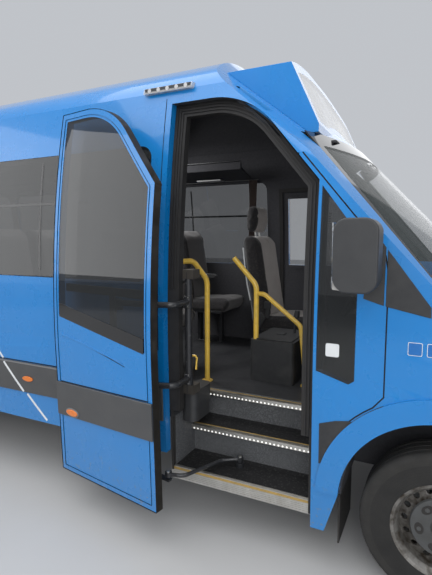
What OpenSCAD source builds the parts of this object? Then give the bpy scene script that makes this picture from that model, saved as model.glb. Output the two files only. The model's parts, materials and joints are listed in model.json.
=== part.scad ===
// Airport passenger minibus with a high roof and a swing-plug entrance door, standing open.
// X points forward, Y to the left, Z up. The origin is on the ground at mid-length.

/* [Body] */
// Overall length
length = 6945; // [6000:5:7600]
// Overall width over the side walls
width = 1993; // [1800:1:2200]
// Height of the roof at the centre
roof_top = 2705; // [2400:5:2900]
// Thickness of walls, doors and roof
wall = 45; // [30:1:60]
// Height of the underside of the side walls
sill_z = 420; // [350:5:500]
// Height of the joint between side walls and roof
eaves_z = 2370; // [2200:5:2500]
// Gap round doors and lids
shut_gap = 7; // [6:1:12]

/* [Running gear] */
// Distance between the axles
wheelbase = 4325; // [3600:5:4400]
// Front axle to the front end
front_overhang = 1004; // [900:1:1100]
// Tyre radius
tyre_r = 349; // [300:1:380]
// Tyre width
tyre_width = 195; // [165:5:215]
// Rim flange radius
rim_r = 215; // [190:1:230]
// Wheel centre to the middle of the bus, front
front_track_half = 860; // [820:1:880]
// Outer rear wheel centre to the middle of the bus
rear_outer_half = 886; // [850:1:890]
// Inner rear wheel centre to the middle of the bus
rear_inner_half = 656; // [640:1:690]
// Steering axis to the middle of the bus
kingpin_half = 780; // [760:1:800]

/* [Windows] */
// Lower edge of the side windows
window_low = 1365; // [1200:5:1500]
// Upper edge of the side windows
window_high = 2100; // [1900:5:2200]
// Thickness of the glass
glass_t = 6; // [4:1:10]

/* [Entrance] */
// Rear edge of the doorway
door_x0 = 1090; // [1000:5:1200]
// Front edge of the doorway
door_x1 = 1900; // [1800:5:1950]
// Lower edge of the doorway
door_low = 220; // [200:5:300]
// Upper edge of the doorway
door_high = 2310; // [2200:5:2350]
// Height where the front edge begins to slope back
door_knee = 1865; // [1700:5:1950]
// Height of the lowest tread
tread1_z = 320; // [280:5:360]
// Height of the middle tread
tread2_z = 490; // [440:5:540]
// Height of the cabin floor
floor_z = 650; // [600:5:700]
// Radius of the turning column
column_r = 20; // [16:1:26]
// Radius of the arm tubes
arm_r = 16; // [12:1:20]

/* [Hidden] */
$fn = 72;
round_fn = 360;

half = width / 2;
front_x = length / 2;
rear_x = -length / 2;
front_axle = front_x - front_overhang;
rear_axle_x = front_axle - wheelbase;
axle_z = tyre_r - 3;
belt_z = 1090;
side_r = 6600;
roof_r = 1500;
roof_corner_r = 300;
nose_r = 2600;
nose_corner_r = 558;
tail_corner_r = 110;
screen_angle = 46.5;
screen_x = 1945;
screen_z = 2120;
screen_r = 2900;
brow_angle = 38;
bonnet_angle = 24.8;
bonnet_x = 2450;
bonnet_z = 1440;
bonnet_r = 4000;
shoulder_r = 158;
face_r = 512;
face_z = 700;
arch_r = 442;
arch_z = 400;
rear_arch_r = 430;
flare = 12;
strip = 12;
strip_low = 604;
strip_high = 806;
floor_t = 40;
far = 5000;

// swing-plug door: places in plan, angles in degrees
column_at = [1180, -880];
leaf_shut = [1556.3, -900];
leaf_open = [864.4, -1085.9];
leaf_turn = -10;
rod_pivot = [1443, -766];
rod_end = [1168, -1084];
rod_z = 365;
eye_half = arm_r + 4;
arm_low = 830;
arm_high = 1260;
door_fillet = 450;
door_slope = 50;
leaf_gap_rear = 25;
leaf_gap_front = 11;

function unit(v) = v / norm(v);

// the part of a corner that lies outside a round of radius r about c, from the point p outwards
module corner_cut(c, r, p) {
  difference() {
    translate([p[0] > 0 ? p[0] : p[0] - 900, p[1]]) square(900);
    translate(c) circle(r, $fn = round_fn);
  }
}

// what lies outside the side of the body in cross-section: a long arc above, a leaning line below
sill_lean = 1.6;
module side_cut(inset) {
  z = belt_z - 90;
  x = half - 0.66 - inset;
  difference() {
    translate([half - 400, z]) square([600, 2200]);
    translate([half - side_r, belt_z]) circle(side_r - inset, $fn = round_fn);
  }
  polygon([[x + 60 * tan(sill_lean), z + 60], [x - 900 * tan(sill_lean), z - 900],
           [half + 200, z - 900], [half + 200, z + 60]]);
}

// cross-section of the body in Y and Z, set in from the outer skin
module section_2d(inset) {
  difference() {
    intersection() {
      translate([0, roof_top - roof_r]) circle(roof_r - inset, $fn = round_fn);
      translate([-half - 20, 150]) square([width + 40, far]);
    }
    for (s = [0, 1]) mirror([s, 0]) {
      side_cut(inset);
      corner_cut([half - 396.5, roof_top - 456], roof_corner_r - inset, [half - 261.5, roof_top - 405]);
    }
  }
}

// the body as a long bar, open at neither end
module bar(inset, x0, x1) {
  translate([x0, 0, 0]) rotate([90, 0, 90]) linear_extrude(x1 - x0) section_2d(inset);
}
module tube(a, b, x0, x1) {
  translate([x0, 0, 0]) rotate([90, 0, 90]) linear_extrude(x1 - x0) difference() {
    section_2d(a);
    section_2d(b);
  }
}

// everything behind a sloping barrel face through x, z on the centre plane
module slope(x, z, angle, r, inset) {
  translate([x, 0, z]) rotate([0, angle - 90, 0]) translate([-r, 0, -8000]) rotate([0, 0, 180])
    cylinder(r = r - inset, h = 16000, $fn = round_fn);
}
module screen_face(inset) {
  slope(screen_x, screen_z, screen_angle, screen_r, inset);
}
module brow_face(inset) {
  slope(screen_x, screen_z, brow_angle, screen_r, inset);
}

// removes the sharp edges of the tail corners
module tail_cut(inset) {
  c = [rear_x + tail_corner_r * 0.985, half - tail_corner_r * 0.985];
  for (s = [0, 1]) mirror([0, s, 0]) linear_extrude(far)
    corner_cut(c, tail_corner_r - inset, [rear_x + tail_corner_r * 0.9, half - tail_corner_r * 0.9]);
}

// the front end below the windscreen as one solid, set in from the outer skin
module nose(inset) {
  nose_c = [front_x - nose_r, 0];
  difference() {
    intersection() {
      bar(inset, 1900, front_x + 100);
      linear_extrude(1700) difference() {
        translate(nose_c) circle(nose_r - inset, $fn = round_fn);
        for (s = [0, 1]) mirror([0, s])
          corner_cut([front_x - 603.5, half - 556.5], nose_corner_r - inset,
                     [front_x - 592.5, half - 406.5]);
      }
      slope(bonnet_x, bonnet_z, bonnet_angle, bonnet_r, inset);
      across(0) {
        translate([1800, 0]) square([front_x - inset - 1800, face_z + 1]);
        translate([1800, 0]) square([front_x - face_r - 1800, 2000]);
        intersection() {
          translate([front_x - face_r, face_z]) circle(face_r - inset, $fn = round_fn);
          translate([0, face_z]) square(far);
        }
      }
    }
    for (s = [0, 1]) mirror([0, s, 0])
      translate([bonnet_x, 0, bonnet_z]) rotate([0, bonnet_angle, 0]) rotate([90, 0, 90])
        translate([0, 0, -900]) linear_extrude(2600)
          corner_cut([half - 158.7, -248.6], shoulder_r - inset, [half - 136.5, -247]);
  }
}
module nose_skin(a = 0, b = wall) {
  difference() {
    nose(a);
    nose(b);
  }
}

// a prism along Y from a side view outline, on the right (-1), on the left (1) or both (0)
module across(s) {
  translate([0, s == 1 ? far : s == 0 ? far / 2 : 0, 0]) rotate([90, 0, 0])
    linear_extrude(far) children();
}

module box(x0, x1, y0, y1, z0, z1) {
  translate([x0, y0, z0]) cube([x1 - x0, y1 - y0, z1 - z0]);
}

// rectangle with round corners as true arcs
module round_rect(x0, x1, z0, z1, r) {
  translate([x0 + r, z0]) square([x1 - x0 - 2 * r, z1 - z0]);
  translate([x0, z0 + r]) square([x1 - x0, z1 - z0 - 2 * r]);
  for (x = [x0 + r, x1 - r], z = [z0 + r, z1 - r]) translate([x, z]) circle(r);
}

// doorway outline in side view, grown outwards by g
module doorway(g, low = door_low) {
  x_top = door_x1 + (g - (door_high - door_knee + g) * cos(door_slope)) / sin(door_slope);
  z_knee = door_knee + g * (1 - sin(door_slope)) / cos(door_slope);
  c = [door_x1 + (-door_fillet - (door_high - door_knee - door_fillet) * cos(door_slope))
       / sin(door_slope), door_high - door_fillet];
  r = door_fillet + g;
  intersection() {
    polygon([[door_x0 - g, low], [door_x1 + g, low], [door_x1 + g, z_knee],
             [x_top, door_high + g], [door_x0 - g, door_high + g]]);
    union() {
      difference() {
        translate([door_x0 - 500, 0]) square([2000, 3000]);
        corner_cut(c, r, [c[0], c[1] + r * cos(door_slope)]);
      }
      translate(c) circle(r);
    }
  }
}

// front fixed panel in side view
panel_line = [[door_x1, door_low], [1965, door_low], [2030, 430], [2210, 700], [2210, 1500],
              [2059, 1704], [1816, 1994], [door_x1 - 200, 1994]];

module fixed_panel_2d() {
  difference() {
    polygon(panel_line);
    doorway(0, 0);
    translate([front_axle, arch_z]) circle(arch_r);
  }
}

// window openings of one side: first and last X of each
window_bays = [[-3230, -2330], [-2230, -720], [-620, 985]];
left_bays = [[-3230, -2330], [-2230, -720], [-620, 980]];

module window_2d(bays, g = 0) {
  for (w = bays) round_rect(w[0] + g, w[1] - g, window_low + g, window_high - g, 70 - g);
}

door_left = [1100, 2200];
module driver_door_2d(g) {
  difference() {
    translate([door_left[0] + g, sill_z + 80 + g])
      square([door_left[1] - door_left[0] - 2 * g, 2030 - sill_z - 80 - 2 * g]);
    // slope along the windscreen pillar
    translate([door_left[1] - g - 0, 1480 - g]) rotate(-51 + 90) square([2000, 2000]);
    translate([front_axle, arch_z]) circle(arch_r + 130 - 5 + g);
  }
}
module driver_glass_2d(g) {
  difference() {
    translate([door_left[0] + 75 + g, window_low + g])
      square([door_left[1] - door_left[0] - 155 - 2 * g, 1950 - window_low - 2 * g]);
    translate([door_left[1] - 90 - g, 1400 - g]) rotate(39) square([2000, 2000]);
  }
}

module arches_2d(extra = 0) {
  translate([front_axle, arch_z]) circle(arch_r + extra, $fn = 180);
  translate([rear_axle_x, arch_z]) circle(rear_arch_r + extra, $fn = 180);
}

// split lines of the front end
bonnet_half = 700;
bonnet_hinge_z = 1296;
bonnet_back = 2745;
bonnet_front = 3330;
lamp_low = 770;
lamp_high = 1035;
grille_half = 470;
bumper_high = 770;
bumper_back = 2900;
cowl_high = 1372;

module bonnet_zone(g) {
  box(bonnet_back + g, bonnet_front - g, -bonnet_half + g, bonnet_half - g, 900, 2000);
}
module lamp_zone() {
  for (s = [-1, 1]) box(3080, front_x + 50, s > 0 ? grille_half : -half, s > 0 ? half : -grille_half,
                        lamp_low, lamp_high);
}
module front_zone() {
  box(bumper_back, far, -far, far, 0, bumper_high);
  box(bonnet_front, far, -far, far, 0, 2000);
  lamp_zone();
  bonnet_zone(0);
}
module flares(s) {
  difference() {
    intersection() {
      tube(-flare, 2, rear_axle_x - 700, rear_axle_x + 700);
      across(s) difference() {
        arches_2d(115);
        translate([-far, 0]) square([2 * far, sill_z]);
      }
    }
    across(s) arches_2d();
  }
}

// the inside of the cab and cabin ends in these planes and faces
module wall_2d(s) {
  difference() {
    translate([rear_x, sill_z]) square([2230 - rear_x, eaves_z - sill_z]);
    arches_2d();
    if (s < 0) {
      doorway(0, 0);
      polygon(panel_line);
      translate([door_x0, 0]) square([1100, door_knee]);
    } else driver_door_2d(0);
    window_2d(s < 0 ? window_bays : left_bays);
    translate([2210, 0]) square([500, 1420]);
  }
}

module side_wall(s) {
  difference() {
    intersection() {
      tube(0, wall, rear_x, 2400);
      screen_face(0);
      brow_face(0);
      across(s) wall_2d(s);
    }
    tail_cut(0);
  }
  // windscreen pillar
  difference() {
    intersection() {
      bar(0, 1500, 2500);
      difference() {
        screen_face(0);
        screen_face(wall);
      }
      brow_face(0);
      box(1500, 2600, s > 0 ? 700 : -far, s > 0 ? far : -700, 1420, eaves_z);
    }
    screen_cut();
    across(s) union() {
      if (s < 0) doorway(0, 0);
      if (s < 0) polygon(panel_line);
      if (s > 0) driver_door_2d(0);
      translate([0, screen_z]) square([1600, 900]);
    }
    box(1000, 3000, -screen_half_top, screen_half_top, 0, far);
  }
  // corner post beside the rear doors
  difference() {
    intersection() {
      bar(0, rear_x, rear_x + wall);
      box(rear_x - 1, rear_x + wall, s > 0 ? rear_door_half : -far, s > 0 ? far : -rear_door_half,
          sill_z, eaves_z);
    }
    tail_cut(0);
  }
}
rear_door_half = 800;
rear_door_low = 590;
rear_door_high = 2330;

// the windscreen opening, a tapering prism square to the slope of the glass
module screen_cut() {
  intersection() {
    translate([screen_x, 0, screen_z]) rotate([0, screen_angle, 0]) translate([0, 0, -400])
      linear_extrude(800) polygon([[-140, -screen_half_top], [1100, -screen_half_low],
                                   [1100, screen_half_low], [-140, screen_half_top]]);
    box(1500, 3000, -far, far, cowl_high, screen_z);
  }
}
screen_half_top = 795;
screen_half_low = 998;

module roof_shell() {
  difference() {
    intersection() {
      tube(0, wall, rear_x, 2400);
      brow_face(0);
      box(rear_x - 1, 2400, -far, far, eaves_z, far);
    }
    tail_cut(0);
  }
  // front slope and header above the windscreen
  difference() {
    intersection() {
      bar(0, 1000, 2400);
      difference() {
        brow_face(0);
        brow_face(wall);
      }
      screen_face(0);
      box(1000, 2400, -far, far, screen_z, far);
    }
    for (s = [-1, 1]) box(1000, 2400, s > 0 ? screen_half_top : -far, s > 0 ? far : -screen_half_top,
                          0, eaves_z);
  }
  // end wall above the rear doors
  difference() {
    intersection() {
      bar(0, rear_x, rear_x + wall);
      box(rear_x - 1, rear_x + wall, -rear_door_half, rear_door_half, rear_door_high, eaves_z);
    }
    tail_cut(0);
  }
  difference() {
    intersection() {
      bar(0, rear_x, rear_x + wall);
      box(rear_x - 1, rear_x + wall, -far, far, eaves_z, far);
    }
    tail_cut(0);
  }
}

module display_profile(inset) {
  polygon([[1150, screen_z + 5], [1150, 2560 - inset], [1284, 2610 - inset], [1610 - inset, 2610 - inset],
           [1640 - inset, 2585 - inset], [1835 - inset, 2165], [1835 - inset, screen_z + 5]]);
}
// the recess for the glass, in side view
display_pane = [[1653, 2557], [1822, 2193], [1813, 2189], [1644, 2553]];
module display_housing() {
  color("royalblue") difference() {
    intersection() {
      across(0) display_profile(0);
      translate([1000, 0, 0]) rotate([90, 0, 90]) linear_extrude(1000) intersection() {
        round_rect(-725, 725, 1800, 2640, 60);
        display_crown(0);
      }
    }
    intersection() {
      bar(0, 900, 2400);
      brow_face(0);
    }
    display_recess(12);
  }
}
module display_crown(inset) {
  translate([0, 296]) circle(2300 - inset, $fn = round_fn);
}
module display_recess(outwards) {
  difference() {
    intersection() {
      translate([1000, 0, 0]) rotate([90, 0, 90]) linear_extrude(1000) display_crown(55);
      out = display_pane[0] - display_pane[3];
      across(0) polygon([display_pane[0] + outwards * out / out[0], display_pane[1] + outwards * out / out[0],
                         display_pane[2], display_pane[3]]);
      box(1000, 2500, -660, 660, 1000, 3000);
    }
    brow_face(-18);
  }
}
module display_glass() {
  color("black", 0.6) display_recess(0);
}

module roof() {
  color("royalblue") roof_shell();
}

module right_side() {
  color("royalblue") {
    side_wall(-1);
    flares(-1);
  }
}

module left_side() {
  color("royalblue") {
    side_wall(1);
    flares(1);
  }
}

module fenders() {
  color("royalblue") {
    fender(-1);
    fender(1);
    for (s = [-1, 1]) difference() {
      front_flare(s);
      if (s < 0) across(-1) polygon(panel_line);
      front_zone();
    }
  }
}
// the raised band round a front wheel arch, lying on the skin
module front_flare(s) {
  intersection() {
    difference() {
      nose(-flare);
      nose(0);
    }
    across(s) difference() {
      translate([front_axle, arch_z]) circle(arch_r + 105, $fn = 180);
      translate([front_axle, arch_z]) circle(arch_r, $fn = 180);
      translate([-far, 0]) square([2 * far, sill_z]);
    }
  }
}
module fender(s) {
  difference() {
    intersection() {
      nose_skin();
      box(2400, front_x, s > 0 ? 0 : -far, s > 0 ? far : 0, sill_z, 1420);
    }
    front_zone();
    across(0) arches_2d();
    box(2300, bonnet_back, -cowl_half, cowl_half, 900, 2000);
    box(2300, 3400, -620, 620, 0, 2000);
  }
  // foot of the windscreen pillar
  difference() {
    intersection() {
      tube(0, wall, 2000, 2480);
      screen_face(0);
      across(s) difference() {
        translate([2210, sill_z]) square([270, 1420 - sill_z]);
        arches_2d();
        if (s < 0) polygon(panel_line);
        if (s > 0) driver_door_2d(0);
      }
    }
    screen_cut();
  }
}
cowl_half = 880;

module cowl() {
  color("dimgray") {
    difference() {
      intersection() {
        nose_skin();
        box(2400, bonnet_back - 4, -cowl_half, cowl_half, 1000, 2000);
      }
      screen_face(20);
    }
    intersection() {
      difference() {
        screen_face(0);
        screen_face(wall);
      }
      box(2300, 2800, -cowl_half, cowl_half, 1290, cowl_high);
    }
  }
}

module windscreen() {
  color("lightblue", 0.4) intersection() {
    difference() {
      screen_face(0);
      screen_face(glass_t);
    }
    screen_cut();
    bar(0, 1700, 2800);
  }
}

module front_bumper() {
  color("dimgray") difference() {
    intersection() {
      nose_skin(-4, 60);
      box(bumper_back, far, -far, far, 300, bumper_high);
    }
    across(0) arches_2d(3);
    box(3300, far, -260, 260, 430, 560);
  }
}

module grille() {
  color("dimgray") {
    difference() {
      intersection() {
        nose_skin(0, 50);
        box(3200, far, -grille_half, grille_half, bumper_high, lamp_high + 10);
      }
      for (z = [770:60:960]) box(3200, far, -grille_half + 40, grille_half - 40, z, z + 32);
      bonnet_zone(-shut_gap);
    }
  }
}

module headlamps() {
  color("whitesmoke") intersection() {
    nose_skin(0, 70);
    lamp_zone();
  }
}

module bonnet() {
  color("royalblue") for (y = [-190, 110])
    translate([bonnet_back + shut_gap, y, bonnet_hinge_z]) rotate([-90, 0, 0]) cylinder(r = hinge_r, h = 80);
  color("royalblue") difference() {
    intersection() {
      nose_skin(0, 25);
      bonnet_zone(shut_gap);
    }
    for (s = [-1, 1]) box(2900, far, s > 0 ? grille_half - shut_gap : -half, s > 0 ? half : shut_gap - grille_half,
                          0, lamp_high + shut_gap);
  }
}

module front_fixed_panel() {
  color("royalblue") {
    intersection() {
      tube(0, wall, 1800, 2300);
      screen_face(0);
      across(-1) difference() {
        fixed_panel_2d();
        fixed_glass_2d(0);
      }
    }
    intersection() {
      front_flare(-1);
      across(-1) polygon(panel_line);
    }
  }
}
module fixed_glass_2d(g) {
  polygon([[1915, 1002], [2060, 957], [2085, 975], [2085, 1560], [2050, 1660], [1915, 1838]]);
}
module side_windows() {
  color("black", 0.6) {
    intersection() {
      tube(0, glass_t, 1900, 2300);
      across(-1) fixed_glass_2d(0);
    }
    for (s = [-1, 1]) intersection() {
      tube(0, glass_t, rear_x + 50, 1200);
      across(s) window_2d(s < 0 ? window_bays : left_bays);
    }
  }
}

module rub_strips() {
  color("dimgray") {
    intersection() {
      tube(-strip, 0, rear_x + 130, 1200);
      difference() {
        union() {
          box(rear_x + 130, door_x0 - 10, -far, 0, strip_low, strip_high);
          box(rear_x + 130, door_left[0] - 10, 0, far, strip_low, strip_high);
        }
        across(0) arches_2d(115);
      }
    }
  }
}

module driver_door() {
  color("royalblue") intersection() {
    tube(0, wall, 1000, 2300);
    across(1) difference() {
      driver_door_2d(shut_gap);
      driver_glass_2d(0);
      translate([door_left[0], 0]) square([13, far]);
    }
  }
}
module driver_door_glass() {
  color("black", 0.5) intersection() {
    tube(0, glass_t, 1000, 2300);
    across(1) driver_glass_2d(0);
  }
}

module rear_door_solid(s) {
  intersection() {
    bar(0, rear_x, rear_x + wall);
    box(rear_x - 10, rear_x + wall, s > 0 ? shut_gap / 2 : -rear_door_half + shut_gap,
        s > 0 ? rear_door_half - shut_gap : -shut_gap / 2,
        rear_door_low + shut_gap, rear_door_high - shut_gap);
  }
}
module rear_door(s) {
  color("royalblue") difference() {
    rear_door_solid(s);
    rear_glass_block(s, 0);
  }
}
module rear_glass_block(s, g) {
  translate([rear_x - 50, 0, 0]) rotate([90, 0, 90]) linear_extrude(300)
    mirror([s > 0 ? 0 : 1, 0]) round_rect(90 + g, 690 - g, 1420 + g, 2080 - g, 60);
}
module rear_glass(s) {
  color("black", 0.5) intersection() {
    bar(0, rear_x, rear_x + glass_t);
    rear_glass_block(s, 0);
  }
}

// floor plate with the step well left open, toe board and bulkhead
bulk_x = 2400;
module floor_plate() {
  toe_x = front_axle - arch_r - 10;
  z0 = floor_z - floor_t;
  color("gray") difference() {
    intersection() {
      bar(wall, rear_x + wall + 12, bulk_x);
      union() {
        box(rear_x, toe_x, -far, far, z0, floor_z);
        across(0) polygon([[toe_x, z0], [toe_x, floor_z], [front_axle - 230, 840], [bulk_x - 35, 848],
          [bulk_x - 35, 1245], [bulk_x, 1245], [bulk_x, 812], [front_axle - 215, 805], [toe_x + 50, z0]]);
      }
    }
    box(well_x0, well_x1, -far, tread_floor_y + plate, 0, floor_z + 1);
    // room beside the moving doors
    box(door_x0 - 5, door_x1 + 5, -far, wall + 20 - half, 0, far);
    box(door_left[0] - 10, far, half - wall - 26, far, 0, far);
    for (s = [-1, 1]) translate([rear_axle_x, s * (half - 250), arch_z]) rotate([90, 0, 0])
      cylinder(r = rear_arch_r + 15, h = 520, center = true);
    across(0) translate([front_axle, arch_z]) circle(arch_r + 2);
  }
}
well_x0 = 1105;
well_x1 = 1930;
tread_floor_y = -510;
tread2_y = -680;
nosing1_y = -923;
plate = 25;

module entrance_steps() {
  color("darkslategray") {
    translate([well_x0, 0, 0]) rotate([90, 0, 90]) linear_extrude(well_x1 - well_x0)
      polygon([[nosing1_y + 20, tread1_z], [tread2_y, tread1_z], [tread2_y, tread2_z],
               [tread_floor_y, tread2_z], [tread_floor_y, floor_z], [tread_floor_y + plate, floor_z],
               [tread_floor_y + plate, tread2_z - plate], [tread2_y + plate, tread2_z - plate],
               [tread2_y + plate, tread1_z - plate], [nosing1_y + 20, tread1_z - plate]]);
    for (x = [well_x0 - 15, well_x1]) box(x, x + 15, nosing1_y + 20, tread_floor_y + plate,
                                          tread1_z - plate, floor_z - floor_t);
  }
}

module step_nosings() {
  color("silver") {
    box(well_x0 - 15, well_x1 + 15, nosing1_y, nosing1_y + 20, 250, tread1_z + 4);
    box(well_x0, well_x1, tread2_y - 40, tread2_y, tread2_z - 28, tread2_z);
    box(well_x0, well_x1, tread_floor_y - 40, tread_floor_y, floor_z - 28, floor_z);
  }
}

module entrance_frame() {
  color("black") difference() {
    union() {
      intersection() {
        tube(wall + 7, wall + 50, 1000, 2200);
        screen_face(wall + 5);
        brow_face(wall + 5);
        across(-1) difference() {
          doorway(25);
          doorway(-65, 0);
        }
      }
      // lip on the inside of the wall
      intersection() {
        tube(wall + 0.3, wall + 20, 1000, 2200);
        screen_face(wall + 5);
        brow_face(wall + 5);
        across(-1) difference() {
          doorway(22);
          doorway(8, 0);
        }
      }
    }
    box(900, 2400, -far, 0, 0, floor_z + 2);
  }
}

// rubber seals that the cab door, the rear doors and the bonnet shut on
seal_gap = 0.3;
module door_seals() {
  color("black") {
    intersection() {
      tube(wall + seal_gap, wall + 10, 1000, 2300);
      across(1) difference() {
        driver_door_2d(-5);
        driver_door_2d(28);
      }
    }
    x = rear_x + wall + seal_gap;
    difference() {
      box(x, x + 9, -rear_door_half - 6, rear_door_half + 6, rear_door_low - 2, rear_door_high + 6);
      box(x - 1, x + 10, -rear_door_half + 34, rear_door_half - 34, rear_door_low + 36, rear_door_high - 34);
    }
    difference() {
      intersection() {
        nose_skin(25 + seal_gap, wall - 5);
        bonnet_zone(seal_gap);
      }
      bonnet_zone(30);
      box(2900, far, -far, far, 0, lamp_high + 20);
    }
  }
}

// hinge pins of the cab door and of the rear doors, on plates fixed to the pillars
hinge_r = 6;
module door_hinges() {
  color("black") {
    for (z = [900, 1240]) {
      difference() {
        translate([door_left[1], half, z]) cylinder(r = hinge_r, h = 80);
        bar(0, 2100, 2300);
      }
      intersection() {
        tube(-9, 0, door_left[1] + 2, door_left[1] + 40);
        box(0, far, 0, far, z, z + 80);
      }
    }
    for (s = [-1, 1], z = [780, 1420, 2060]) difference() {
      union() {
        translate([rear_x, s * rear_door_half, z]) cylinder(r = hinge_r, h = 80);
        box(rear_x - 5, rear_x, s > 0 ? rear_door_half + 2 : -rear_door_half - 40,
            s > 0 ? rear_door_half + 40 : -rear_door_half - 2, z, z + 80);
      }
      bar(0, rear_x, rear_x + wall);
    }
  }
}

module door_bearings() {
  x0 = door_x0 + 65.3;
  color("black") difference() {
    union() {
      for (z = [1385, bearing_low]) box(x0, column_at[0] + 38, column_at[1] - 20, column_at[1] + 60, z, z + 50);
    }
    translate([column_at[0], column_at[1], 749.9]) cylinder(r = column_r + 0.1, h = 670.2);
  }
  // pivot of the guide rod, standing on the lowest tread
  color("black") translate([rod_pivot[0], rod_pivot[1], tread1_z]) {
    cylinder(r = 24, h = rod_z - 18 - tread1_z);
    cylinder(r = 8, h = rod_z + 12 - tread1_z);
  }
}

// cover over the foot of the turning column, in the rear corner of the well
module gear_cover() {
  color("dimgray") {
    translate([0, 0, cover_seam + 2]) linear_extrude(bearing_low - cover_seam - 2)
      round_rect(well_x0, well_x0 + 100, -850, -640, 40);
    translate([0, 0, 560]) linear_extrude(cover_seam + 2 - 560) round_rect(well_x0, well_x0 + 94, -844, -646, 36);
  }
}
cover_seam = 650;
bearing_low = 745;

// signed turn at the middle of three points, and the length it takes from each leg
function turn(p, i) = let (u = unit(p[i] - p[i - 1]), v = unit(p[i + 1] - p[i]))
  atan2(cross(u, v), u * v);
function leg(p, i, bend) = i == 0 || i == len(p) - 1 ? 0 : bend * tan(abs(turn(p, i)) / 2);

// a bent tube through the plane points p, with bends a hair stouter than the straight lengths
module bent_tube(p, r, bend) {
  n = len(p) - 1;
  for (i = [0:n - 1]) {
    u = unit(p[i + 1] - p[i]);
    a = i == 0 ? 0 : leg(p, i, bend) - 4;
    b = i == n - 1 ? 0 : leg(p, i + 1, bend) - 4;
    q = p[i] + a * u;
    translate([q[0], q[1], 0]) rotate([0, 90, atan2(u[1], u[0])])
      cylinder(r = r, h = norm(p[i + 1] - p[i]) - a - b);
  }
  for (i = [1:1:n - 1]) {
    u = unit(p[i] - p[i - 1]);
    t = turn(p, i);
    q = p[i] - leg(p, i, bend) * u;
    c = q + sign(t) * bend * [-u[1], u[0]];
    translate([c[0], c[1], 0]) rotate([0, 0, atan2(q[1] - c[1], q[0] - c[0]) + min(t, 0)])
      rotate_extrude(angle = abs(t)) translate([bend, 0]) circle(r + 0.6);
  }
}

module door_column() {
  color("black") {
    difference() {
      union() {
        translate([column_at[0], column_at[1], 750]) cylinder(r = column_r, h = 670);
        for (z = [arm_low, arm_high]) {
          translate([0, 0, z]) bent_tube([column_at, [1185, -1030], [1100, -1060], leaf_open], arm_r, 45);
          translate([leaf_open[0], leaf_open[1], z - eye_half]) cylinder(r = 24, h = 2 * eye_half);
          translate([column_at[0], column_at[1], z - 24]) cylinder(r = column_r + 4, h = 48);
        }
      }
      for (z = [arm_low, arm_high]) translate([leaf_open[0], leaf_open[1], z - 50])
        cylinder(r = 10.1, h = 100);
    }
  }
}

// places what is drawn in the shut position at the open one
module opened() {
  translate([leaf_open[0], leaf_open[1], 0]) rotate([0, 0, leaf_turn])
    translate([-leaf_shut[0], -leaf_shut[1], 0]) children();
}

module leaf_outline() {
  intersection() {
    doorway(-leaf_gap_front, door_low + 5);
    translate([door_x0 + leaf_gap_rear, 0]) square([2000, 3000]);
  }
}
module leaf_glass_2d() {
  intersection() {
    doorway(-leaf_gap_front - 45, 0);
    polygon([[door_x0 + leaf_gap_rear + 45, 1167], [door_x1 - 56, 1044], [door_x1 + 200, 3000],
             [door_x0 + leaf_gap_rear + 45, 3000]]);
  }
}
module door_leaf() {
  color("royalblue") opened() intersection() {
    tube(0, wall, 1000, 2000);
    across(-1) difference() {
      leaf_outline();
      leaf_glass_2d();
    }
  }
}
module door_leaf_glass() {
  color("black", 0.6) opened() intersection() {
    tube(2, glass_t + 2, 1000, 2000);
    across(-1) leaf_glass_2d();
  }
}

// rub strip across the foot of the door leaf
module leaf_strip() {
  color("dimgray") opened() intersection() {
    tube(-strip, 0, 1000, 2000);
    across(-1) intersection() {
      leaf_outline();
      polygon([[door_x0, 570], [door_x1, 606], [door_x1, 800], [door_x0, 770]]);
    }
  }
}

// inside of the leaf: an upright below the carrier of the arms and a cross-bar above it
module leaf_profile() {
  color("black") opened() intersection() {
    tube(wall + 0.2, wall + 14, 1100, 1900);
    union() {
      box(leaf_shut[0] - 22, leaf_shut[0] + 22, -far, 0, 350, arm_low - 60.5);
      box(door_x0 + 75, door_x1 - 75, -far, 0, arm_high + 40.5, arm_high + 85);
    }
  }
}

module door_carrier() {
  y_in = wall - half + 7.2;
  color("black") opened() {
    box(leaf_shut[0] - 20, leaf_shut[0] + 20, y_in, y_in + 14, arm_low - 60, arm_high + 40);
    for (z = [arm_low, arm_high]) {
      box(leaf_shut[0] - 18, leaf_shut[0] + 18, y_in, leaf_shut[1] + 18, z - eye_half - 19, z - eye_half - 5);
      translate([leaf_shut[0], leaf_shut[1], z - eye_half - 10]) cylinder(r = 10, h = 2 * eye_half + 10);
    }
    // bracket under the outer eye of the guide rod
    box(1765, 1800, y_in + 12.3, -845, rod_z - 36, rod_z - 24);
    box(1765, 1870, -860, -832, rod_z - 36, rod_z - 24);
  }
}

module guide_rod() {
  d = rod_end - rod_pivot;
  u = d / norm(d);
  n = [-u[1], u[0]];
  a = rod_pivot + 105 * u - 26 * n;
  b = rod_pivot + 356 * u + 52 * n;
  color("black") difference() {
    union() {
      translate([0, 0, rod_z]) bent_tube([rod_pivot, a, b, rod_end], 10, 60);
      for (p = [rod_pivot, rod_end]) translate([p[0], p[1], rod_z - 13]) cylinder(r = 18, h = 26);
    }
    for (p = [rod_pivot, rod_end]) translate([p[0], p[1], rod_z - 20]) cylinder(r = 8.1, h = 60);
  }
}

// stands a plane path up on the floor plan at x, y, turned by az
module upright(x, y, az) {
  translate([x, y, 0]) rotate([90, 0, az]) children();
}
// lamp over the doorway
module entrance_lamp() {
  color("dimgray") intersection() {
    tube(-26, 0, 917, 1216);
    box(900, 1230, -far, 0, 2374, 2406);
  }
}

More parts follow.
